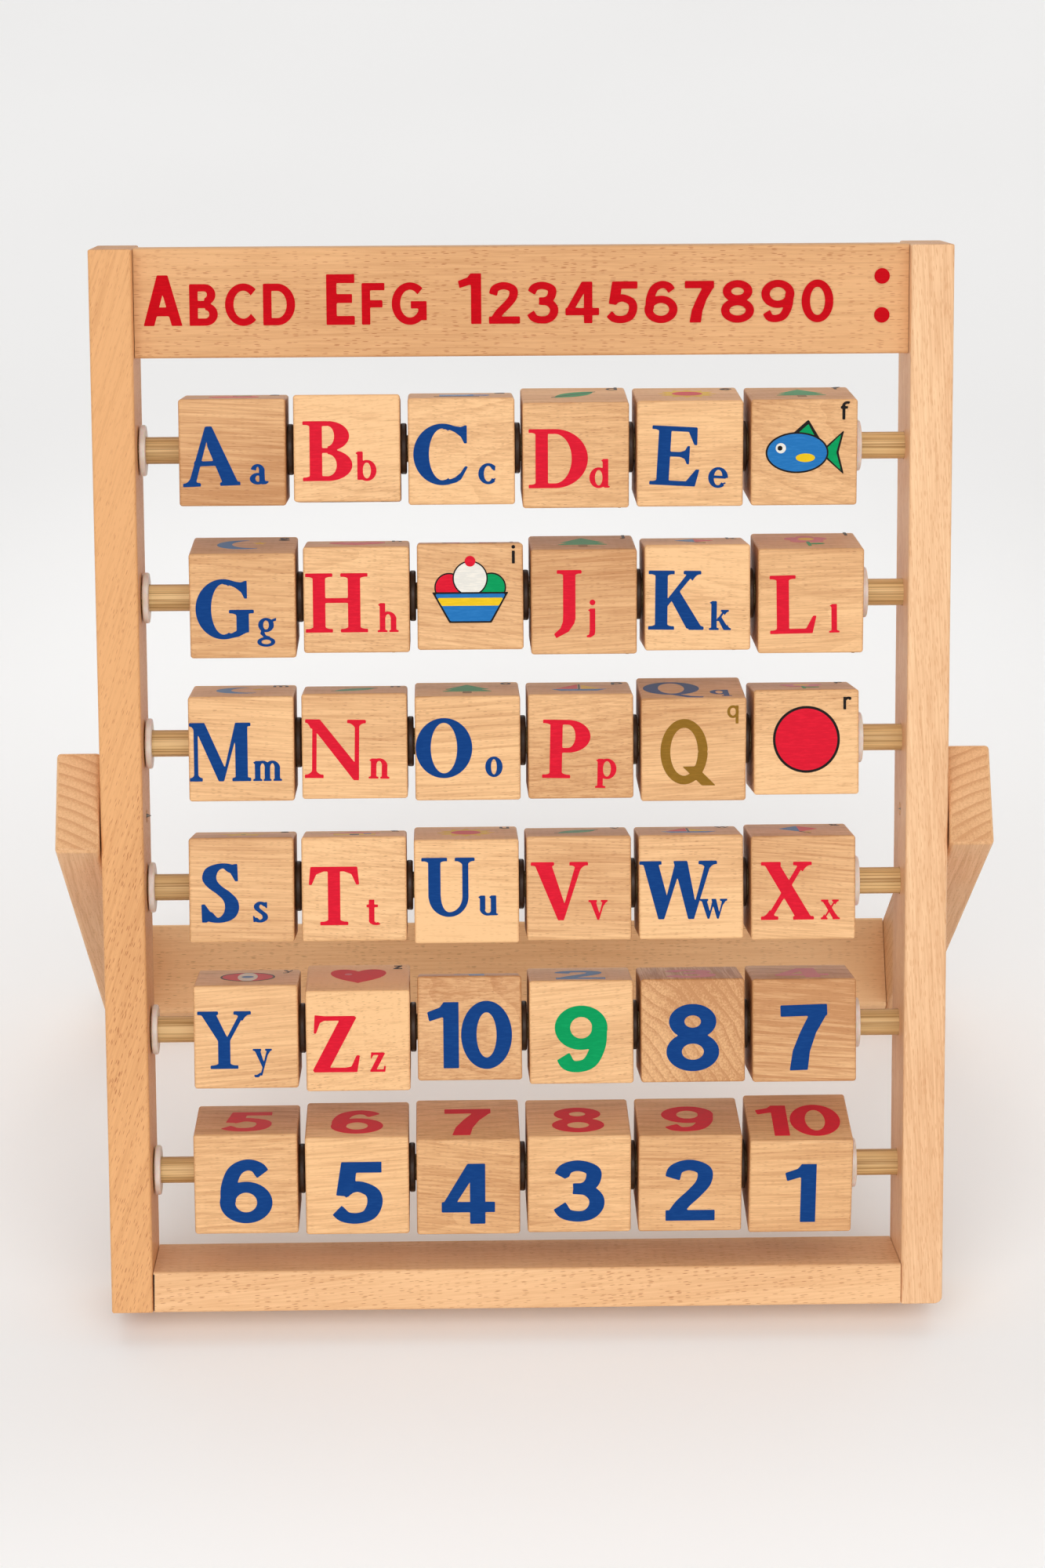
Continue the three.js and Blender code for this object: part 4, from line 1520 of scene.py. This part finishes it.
BLOCKS = {made.name: made for made in (
    LetterPrint("a", 1.1, 24.5, "apple", "boat", tone=0.46, askew=1.7),
    LetterPrint("b", 3.3, 21.7, "ball", "flower", tone=0.0),
    LetterPrint("c", 1.9, 24.5, "cup", "star", tone=0.05),
    LetterPrint("d", 2.2, 23.4, "leaf", "house"),
    LetterPrint("e", 5.0, 25.5, "sun", "kite", askew=-3.2),
    LetterPrint("f", 2.4, 24.0, "fish", "tree", front=Face.TOP, tone=0.25),
    LetterPrint("g", 2.2, 23.6, "moon", "apple", tone=0.1),
    LetterPrint("h", 0.8, 26.0, "heart", "boat", tone=0.0),
    LetterPrint("i", 2.4, 26.0, "cone", "ball", front=Face.TOP, tone=0.25),
    LetterPrint("j", 8.2, 19.6, "tree", "cup", tone=0.3, rise=2.0),
    LetterPrint("k", 1.4, 22.8, "kite", "leaf", tone=-0.1, askew=-0.8),
    LetterPrint("l", 4.2, 25.0, "flower", "moon", tone=0.15, askew=1.0),
    LetterPrint("m", 0.4, 22.8, "moon", "fish"),
    LetterPrint("n", 1.2, 23.7, "leaf", "heart", askew=-1.0),
    LetterPrint("o", 0.3, 24.8, "tree", "sun", tone=-0.05, rings=0.7, rise=1.2),
    LetterPrint("p", 5.2, 24.0, "boat", "star", tone=0.2, askew=-1.4),
    LetterPrint("q", 1.6, 25.0, "cup", "ball", front=Face.BOTTOM, tone=0.3),
    LetterPrint("r", 2.4, 24.0, "disc", "flower", front=Face.TOP),
    LetterPrint("s", 4.6, 22.6, "star", "fish", tone=0.15),
    LetterPrint("t", 2.6, 23.0, "house", "cone", tone=-0.1, rise=-1.4),
    LetterPrint("u", 2.7, 22.8, "sun", "kite", tone=-0.15, rise=2.8),
    LetterPrint("v", 1.6, 22.0, "leaf", "moon", tone=0.1),
    LetterPrint("w", 0.3, 21.7, "boat", "heart", tone=-0.05),
    LetterPrint("x", 3.6, 25.0, "kite", "house", tone=0.22),
    LetterPrint("y", 1.4, 21.0, "ball", "tree", tone=0.2),
    LetterPrint("z", 2.6, 22.8, "heart", "apple", tone=-0.3),
    NumberPrint("10", tone=0.35, above=Ink.SKY),
    NumberPrint("9", tone=-0.05, rings=0.55, own=Ink.GREEN, above=Ink.SKY),
    NumberPrint("8", tone=0.5, rings=0.95, above=Ink.PINK, across=(0.0, -0.042, 0.107)),
    NumberPrint("7", tone=0.5, rings=1.0, askew=1.5, above=Ink.PINK),
    NumberPrint("6", tone=0.2),
    NumberPrint("5", tone=0.15),
    NumberPrint("4", tone=0.2),
    NumberPrint("3", tone=0.15),
    NumberPrint("2", tone=0.1),
    NumberPrint("1", tone=0.2),
)}


@dataclass
class PrintShop:
    """The inks' materials, and the laying of printed shapes on faces, in millimetres."""

    skin: float = 0.035
    layer: float = 0.014
    depth: float = 0.09
    materials: dict[Ink, Material] = field(default_factory=dict)

    def __post_init__(self) -> None:
        """Makes one material for each ink."""
        self.materials = {ink: Printing(ink).material() for ink in Ink}

    def lay(self, sheets: list[Sheet], distance: float) -> Surface:
        """Lays printed shapes on a face that looks to -y, each a little above the one before.

        Args:
            sheets: The shapes, from the lowest.
            distance: How far the face is from the origin, in millimetres.

        Returns:
            The slabs as one surface in millimetres, with each face's number among the inks.
        """
        return join([sheet.slab(distance + self.skin + level * self.layer, self.depth)
                     for level, sheet in enumerate(sheets)])

    def make(self, name: str, parts: list[Surface], body: str, slot: Slot) -> None:
        """Makes one object of placed slabs, with a material for each ink used.

        Args:
            name: The piece's name.
            parts: Surfaces in metres in their places, with each face's number among the inks.
            body: The body that carries it.
            slot: The finish of what it is printed on.
        """
        whole, order = join(parts), list(Ink)
        used, whole.inks = np.unique(whole.inks, return_inverse=True)
        whole.to_object(name, [self.materials[order[number]] for number in used], body, slot)


@dataclass(frozen=True)
class RowFinishes:
    """A row's materials: its blocks, its dowel, the washers at its ends, and for the washers between blocks a
    darkened nylon as painted shade.
    """

    wood: Material
    bamboo: Material
    nylon: Material
    dim: Material


@dataclass
class BlockRow:
    """One dowel with its six printed blocks and seven washers, in millimetres."""

    number: int
    names: list[str]
    washer_radius: float = 9.0
    washer_thick: float = 2.2
    washer_bore: float = 4.95
    washer_ease: float = 0.3
    washer_sides: int = 56
    rim: float = 0.7
    rim_points: int = 5
    washer_past: float = 7.0
    dowel_radius: float = 4.75
    dowel_ease: float = 0.6
    dowel_sides: int = 48
    dowel_rings: int = 9

    def centre(self, name: str) -> Array:
        """Gives a block's middle in metres, from its joint."""
        joint = next(j for j in frame["joints"] if j["name"] == f"block_{name}_turn")
        return np.array(joint["pos_m"], float)

    def on_axis(self, x: float) -> Array:
        """Gives the point of the dowel's axis at an x in metres."""
        return np.array([x, *self.centre(self.names[0])[1:]])

    def washer(self, middle: Array) -> Surface:
        """Works out a washer: a profile of two quarter-round rims and an eased bore, carried round x.

        Args:
            middle: Its middle in metres.

        Returns:
            The closed ring.
        """
        half, r, bore = self.washer_thick / 2, self.rim, self.washer_bore
        inset, mouth = half - self.washer_ease, bore + self.washer_ease
        t = np.linspace(0, np.pi / 2, self.rim_points)
        left = np.stack([-half + r - r * np.cos(t), self.washer_radius - r + r * np.sin(t)], -1)
        lean = np.stack([-np.cos(t), np.sin(t)], -1)
        hole = np.array([[half, mouth], [inset, bore], [-inset, bore], [-half, mouth]])
        hole_lean = np.array([[1, 0], [0, -1], [0, -1], [-1, 0]], float)
        profile = np.concatenate([left, left[::-1] * [-1, 1], hole])
        slant = np.concatenate([lean, lean[::-1] * [-1, 1], hole_lean])
        return revolve(profile, slant, self.washer_sides, middle)

    def stop_middle(self) -> Array:
        """Finds the middle of the washer that is fixed on the dowel's left end, from the node's outer points.

        Returns:
            The washer's middle in metres.
        """
        points, axis = node_points(f"dowel_{self.number}"), self.on_axis(0.0)
        far = np.hypot(points[:, 1] - axis[1], points[:, 2] - axis[2])
        wide = points[far > self.washer_past * MM, 0]
        return self.on_axis((wide.min() + wide.max()) / 2)

    def dowel(self) -> Surface:
        """Works out the dowel: a straight profile with slightly eased ends, carried round x.

        Returns:
            The closed dowel.
        """
        low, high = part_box(f"dowel_{self.number}")
        half, r, ease = (high.x - low.x) / 2 / MM, self.dowel_radius, self.dowel_ease
        line = np.linspace(-half + ease, half - ease, self.dowel_rings)
        side = np.stack([line, np.full_like(line, r)], -1)
        profile = np.concatenate([[[-half, 0.0], [-half, r - ease]], side, [[half, r - ease], [half, 0.0]]])
        slant = np.array([[-1, 0]] * 2 + [[0, 1]] * len(line) + [[1, 0]] * 2, float)
        return revolve(profile, slant, self.dowel_sides, self.on_axis((low.x + high.x) / 2))

    def build_block(self, name: str, form: BlockForm, shop: PrintShop, wood: Material) -> None:
        """Builds a block and its print on the block's body.

        Args:
            name: The block's name.
            form: The block's shape.
            shop: The inks.
            wood: The blocks' finish.
        """
        print_of, body, bare = BLOCKS[name], f"block_{name}", form.surface()
        centre, turn = self.centre(name), square_turn(body)
        cube = bare.seated(turn, centre)
        cube.grain = print_of.grain(bare.points * MM, list(BLOCKS).index(name))
        cube.look = (print_of.tone, print_of.rings)
        block = cube.to_object(f"wood_block_{name}", [wood], f"block_{name}", Slot.BLOCK_WOOD)
        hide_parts(f"block_{name}")
        parts = []
        for quarter, sheets in print_of.sheets(form.size):
            side = shop.lay(sheets, form.size / 2)
            slanted = turned(side.points, Turn.X_TO_Z, math.radians(print_of.askew))
            side.points = turned(slanted, Turn.Y_TO_Z, -quarter * np.pi / 2)
            parts.append(side.seated(turn, centre))
        shop.make(f"block_print_{name}", parts, body, Slot.BLOCK_WOOD)

    def build(self, form: BlockForm, shop: PrintShop, finish: RowFinishes) -> None:
        """Builds the row's pieces on their bodies.

        Args:
            form: The block's shape.
            shop: The inks.
            finish: The row's materials.
        """
        dowel = self.dowel().to_object(f"bamboo_dowel_{self.number}", [finish.bamboo], "frame", Slot.BAMBOO)
        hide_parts(f"dowel_{self.number}")
        stop = self.washer(self.stop_middle())
        stop.to_object(f"stop_washer_{self.number}", [finish.nylon], "frame", Slot.WASHER)
        for name in self.names:
            self.build_block(name, form, shop, finish.wood)
            if name != self.names[-1]:
                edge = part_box(f"block_{name}")[1].x
                between = self.washer(self.on_axis(edge - self.washer_thick / 2 * MM))
                # A washer between two blocks takes the darkened nylon, as painted shade.
                between.to_object(f"washer_{name}", [finish.dim], f"block_{name}", Slot.WASHER)
        low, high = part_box(f"end_washer_{self.number}")
        last = self.washer(self.on_axis((low.x + high.x) / 2))
        ring = last.to_object(f"row_washer_{self.number}", [finish.nylon], f"row_{self.number}", Slot.WASHER)
        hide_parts(f"end_washer_{self.number}")


# Frame, stand and studio

FLECK_BROWN = (174, 107, 62)
LEG = {"rings": 0.75, "light": (234, 185, 136), "dark": (206, 150, 101)}
FRAME_LOOKS = {
    "stile_left": {"offset": (0.9, 0.02, 0.0), "slant": 0.32, "pith": (0.03, 0.05), "rings": 0.42,
                   "light": (230, 171, 114), "dark": (203, 142, 88), "fleck": FLECK_BROWN, "flecks": 1.0,
                   "share": 0.65},
    "stile_right": {"offset": (2.9, 0.05, 0.02), "slant": -0.06, "pith": (0.07, 0.02), "rings": 0.3,
                    "light": (247, 202, 156), "dark": (210, 154, 107), "fleck": (206, 142, 94),
                    "flecks": 0.75, "share": 0.9, "fleck_size": 1.25},
    "top_rail": {"offset": (4.7, 0.02, 0.0), "rings": 0.46, "light": (228, 174, 121), "dark": (199, 143, 92),
                 "fleck": FLECK_BROWN, "flecks": 0.95},
    "bottom_rail": {"offset": (6.1, 0.0, 0.01), "slant": 0.08, "rings": 0.42, "fleck": (176, 109, 64),
                    "flecks": 1.0},
    "leg_left": {"offset": (8.3, 0.0, 0.0), "pith": (0.004, 0.192), **LEG},
    "leg_right": {"offset": (9.9, 0.0, 0.0), "pith": (0.005, -0.196), **LEG},
    # The cross rail's beech is paler than the rest, as painted light that makes up for the shade the rows of
    # blocks cast on it.
    "cross_rail": {"offset": (12.3, 0.01, 0.0), "light": (251, 207, 157), "dark": (231, 179, 128)},
}
BLOCK_BEECH = Beech("beech_blocks", light=(243, 194, 140), dark=(192, 135, 86), flecks=0.7, fleck_size=0.75,
                    share=0.45)
# The washers between blocks are the same milky nylon, darkened and with no light let through, as painted
# shade for the narrow gaps between blocks.
PAINTED_SHADE_NYLON = Nylon("nylon_washer_painted_shade", colour=(104, 82, 64), shade=(84, 64, 48), milky=0.0)
ROW_COUNT = 6


@dataclass
class RackFrame:
    """The fixed frame and the folding stand: CAD solids that get their beech and steel, the top rail's print,
    and a printed black line of painted shade at the bottom rail's joint.

    The print's sizes are in millimetres, the title's from the top rail's left end and middle.
    """

    title: str = "ABCD EFG 1234567890"
    title_start: float = 3.5
    letter_gap: float = 2.85
    word_gap: float = 8.4
    title_drop: float = 7.75
    dot: str = "TITLE disc 0 0 2.7"
    dot_step: float = 0.3
    dots_in: float = 9.4
    dot_rises: Spot = (2.2, 15.7)
    joint_step: float = 0.11
    joint_short: float = 0.7

    def grain_turn(self, node: str, slant: float) -> Triple:
        """Works out the turn about the three axes that brings a node's length to x.

        The length is the first principal axis of its points. A turn about x levels it, and for an upright
        piece a quarter turn about y follows.

        Args:
            node: The CAD node.
            slant: How far the grain leans to the right of an upright piece's length, or rises along a level
                one, in radians.

        Returns:
            The turn about x, y and z in radians.
        """
        least_level = 0.9
        points = node_points(node)
        axis = np.linalg.svd(points - points.mean(0), full_matrices=False)[2][0]
        if abs(axis[0]) > least_level:
            return (-square_turn(node), slant, 0.0)
        axis = axis * np.sign(axis[2])
        return (math.atan2(axis[1], axis[2]), math.pi / 2 - slant, 0.0)

    def dress(self, group: Tree, steel: Material) -> None:
        """Gives every carried-over CAD node its finish.

        Args:
            group: The beech figure.
            steel: The screws' finish.
        """
        finishes = {"pivot_screw_left": steel, "pivot_screw_right": steel}
        for node, look in FRAME_LOOKS.items():
            values = {key: value for key, value in look.items() if key != "slant"}
            turn = self.grain_turn(node, look.get("slant", 0.0))
            finishes[node] = Beech(f"beech_{node}", turn=turn, **values).material(group)
        for node, finish in finishes.items():
            slots = frame["nodes"][node].data.materials
            slots.clear()
            slots.append(finish)
            LOG.info("%s dressed in %s", node, finish.name)

    def levelled(self, node: str) -> tuple[Array, Array]:
        """Gives a rail's lowest and highest corner in millimetres, as if it weren't turned about x."""
        flat = turned(node_points(node), Turn.Y_TO_Z, -square_turn(node)) / MM
        return flat.min(0), flat.max(0)

    def print_on(self, node: str, name: str, sheets: list[Sheet], shop: PrintShop) -> None:
        """Prints shapes on a rail's front.

        Args:
            node: The rail.
            name: The piece's name.
            sheets: Shapes in the levelled rail's own x and z, in millimetres.
            shop: The inks.
        """
        printed = shop.lay(sheets, 0.0)
        printed.points = printed.points + [0.0, self.levelled(node)[0][1], 0.0]
        shop.make(name, [printed.seated(square_turn(node), np.zeros(3))], "frame", Slot.FRAME_WOOD)

    def print_title(self, shop: PrintShop) -> None:
        """Prints plain letters and figures, and two dots, along the top rail's front.

        Args:
            shop: The inks.
        """
        low, high = self.levelled("top_rail")
        base = (low[2] + high[2]) / 2 - self.title_drop
        at = low[0] + self.title_start
        sheets = []
        for word in self.title.lower().split():
            for place, sign in enumerate(word):
                kind = TITLE_REST if place else TITLE_FIRST
                sheets.append(kind.letter(sign, Ink.TITLE, (at, base)))
                at = sheets[-1].u[-SPARE - 1] + self.letter_gap
            at += self.word_gap
        for rise in self.dot_rises:
            sheets += figure(self.dot, (high[0] - self.dots_in, base + rise), self.dot_step)
        self.print_on("top_rail", "title_print", sheets, shop)

    def open_joint(self, shop: PrintShop) -> None:
        """Draws a black hairline as painted shade where the bottom rail's left joint stands a little open.

        Args:
            shop: The inks, whose black it takes.
        """
        low, high = self.levelled("bottom_rail")
        half = (high[2] - low[2]) / 2 - self.joint_short
        wedge = f"BLACK poly -.06 {half} .42 {half} .2 {-half} -.04 {-half}"
        line = figure(wedge, (low[0], (low[2] + high[2]) / 2), self.joint_step)
        self.print_on("bottom_rail", "open_joint_painted_shade", line, shop)


@dataclass(frozen=True)
class Pool:
    """A pool of light painted on the floor: a patch that glows a little where it is seen, and so shows paler.

    Attributes:
        at: Its middle, after the floor is drawn in.
        draw_in: How far the floor is drawn in along each axis.
        fade: Where the glow starts to fade and where it ends, in metres.
        glow: How strong it is.
    """

    at: Triple
    draw_in: Triple
    fade: Spot
    glow: float

    def light(self, n: Nodes, place: Socket) -> Socket:
        """Works out the glow, which fades smoothly with the distance from its middle.

        Args:
            n: The floor's nodes.
            place: Where on the floor.

        Returns:
            The glow.
        """
        ends = {0: n.stretch(place, self.draw_in), 1: self.at}
        away = n.add("ShaderNodeVectorMath", ends, operation="DISTANCE").outputs["Value"]
        return n.ramp(away, self.fade, (self.glow, 0.0))


@dataclass(frozen=True)
class Lamp:
    """A broad soft light from far off: where it comes from, how wide it is in radians, and its strength."""

    name: str
    away: Triple
    spread: float
    strength: float

    def build(self) -> None:
        """Adds the light to the scene, turned to shine from its place to the origin."""
        data = bpy.data.lights.new(self.name, "SUN")
        data.angle, data.energy = self.spread, self.strength
        lamp = bpy.data.objects.new(self.name, data)
        lamp.location = self.away
        x, y, z = self.away
        lamp.rotation_euler = (math.atan2(math.hypot(x, y), z), 0.0, math.atan2(x, -y))
        bpy.context.scene.collection.objects.link(lamp)


@dataclass
class Studio:
    """The pale floor, the soft lights and the camera at the photograph's angle, in metres and degrees."""

    camera_at: Triple = (-0.0316, -1.3032, 0.9059)
    camera_turn: Triple = (60.307, -0.147, -1.3234)
    lens: float = 93.45
    sensor: float = 36.0
    camera_range: Spot = (0.05, 50.0)
    floor_size: float = 5.0
    floor_steps: int = 24
    floor_flat: float = 3.2
    floor_curve: float = 0.3
    floor_drop: float = 0.0002
    floor_colour: Colour = (248, 247, 246)
    floor_shade: Colour = (245, 244, 243)
    floor_cloud: float = 2.0
    floor_rough: float = 0.8
    floor_specular: float = 0.1
    glow_colour: tuple[float, float, float, float] = (0.97, 0.99, 1.0, 1.0)
    # Painted light: the glow behind the rack lifts the rack's shadow on the floor there, and the glow in
    # front lightens the near floor.
    pools: tuple[Pool, Pool] = (Pool((0.0, 0.28, 0.0), (1.0, 1.0, 1.0), (0.14, 0.5), 0.14),
                                Pool((0.0, -0.36, 0.0), (0.5, 1.0, 1.0), (0.1, 0.26), 0.11))
    lamps: tuple[Lamp, Lamp, Lamp] = (Lamp("front_soft_left", (-0.42, -1.0, 0.78), 0.8, 0.97),
                                      Lamp("front_soft_right", (0.5, -1.0, 0.72), 0.8, 0.74),
                                      Lamp("top_soft", (0.05, 0.45, 1.0), 1.0, 0.45))
    room_colour: Colour = (250, 250, 250)
    room_strength: float = 0.5

    def paper(self) -> Material:
        """Makes the floor's finish: pale with a faint mottle, and the glow of each painted pool of light
        where it is seen.

        Returns:
            The material.
        """
        n = Finish("studio_paper")
        cloud = n.ramp(n.noise(n.place, self.floor_cloud), NOISE_SPAN)
        path = n.add("ShaderNodeLightPath").outputs
        mirrored = n.math("MAXIMUM", path["Is Glossy Ray"], path["Is Transmission Ray"])
        seen = n.math("MAXIMUM", path["Is Camera Ray"], mirrored)
        pool = n.math("ADD", *(pool.light(n, n.place) for pool in self.pools))
        strength = n.math("MULTIPLY", seen, pool)
        glow = n.add("ShaderNodeEmission", {"Color": self.glow_colour, "Strength": strength})
        both = n.add("ShaderNodeAddShader", {0: n.shader.outputs[0], 1: glow.outputs[0]})
        n.feed(n.tree.nodes["Material Output"], {"Surface": both.outputs[0]})
        return n.done({"Base Color": n.mix(cloud, linear(self.floor_colour), linear(self.floor_shade)),
                       "Roughness": self.floor_rough, "Specular IOR Level": self.floor_specular})

    def floor(self) -> None:
        """Lays the floor: a level sheet that rises by the square of the way past its flat part."""
        run = np.linspace(-1, 1, self.floor_steps + 1) * self.floor_size
        x, y = np.meshgrid(run, run)
        past = np.clip(np.maximum(np.abs(x), np.abs(y)) - self.floor_flat, 0, None)
        points = np.stack([x, y, self.floor_curve * past**2 - self.floor_drop], -1).reshape(-1, 3)
        mesh = bpy.data.meshes.new("studio_floor")
        mesh.from_pydata(points.tolist(), [], grid_quads(len(run), len(run), closed=False).tolist())
        mesh.polygons.foreach_set("use_smooth", np.ones(len(mesh.polygons), bool))
        mesh.materials.append(self.paper())
        floor = bpy.data.objects.new("studio_floor", mesh)
        bpy.context.scene.collection.objects.link(floor)

    def world(self) -> None:
        """Fills the room with even pale light."""
        made = bpy.data.worlds.new("studio_room")
        made.use_nodes = True
        room = {"Color": linear(self.room_colour), "Strength": self.room_strength}
        Nodes(made.node_tree).feed(made.node_tree.nodes["Background"], room)
        bpy.context.scene.world = made

    def camera(self) -> None:
        """Sets the camera from its place and turn, with the sensor's width on the picture's long side."""
        data = bpy.data.cameras.new("photo_camera")
        data.lens, data.sensor_width, data.sensor_fit = self.lens, self.sensor, "AUTO"
        data.clip_start, data.clip_end = self.camera_range
        cam = bpy.data.objects.new("photo_camera", data)
        cam.location = self.camera_at
        cam.rotation_euler = [math.radians(angle) for angle in self.camera_turn]
        bpy.context.scene.collection.objects.link(cam)
        bpy.context.scene.camera = cam

    def build(self) -> None:
        """Sets up floor, lights, room and camera."""
        self.floor()
        for lamp in self.lamps:
            lamp.build()
        self.world()
        self.camera()
        bpy.context.scene.view_settings.view_transform = "Standard"


def main() -> None:
    """Builds the rack's pieces in order, then the studio."""
    logging.basicConfig(level=logging.INFO, format="%(name)s: %(message)s")
    group = BeechFigure().group()
    shop = PrintShop()
    rack = RackFrame()
    rack.dress(group, Steel().material())
    rack.print_title(shop)
    rack.open_joint(shop)
    finish = RowFinishes(wood=BLOCK_BEECH.material(group), bamboo=Bamboo().material(),
                         nylon=Nylon().material(), dim=PAINTED_SHADE_NYLON.material())
    low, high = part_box("block_f")
    form = BlockForm(size=(high.x - low.x) / MM)
    joints = frame["record"]["behaviour"]["joints"]
    for number in range(1, ROW_COUNT + 1):
        names = [j["child"][len("block_"):] for j in joints if j["parent"] == f"row_{number}"]
        BlockRow(number, names).build(form, shop, finish)
    Studio().build()


if __name__ == "__main__":
    main()
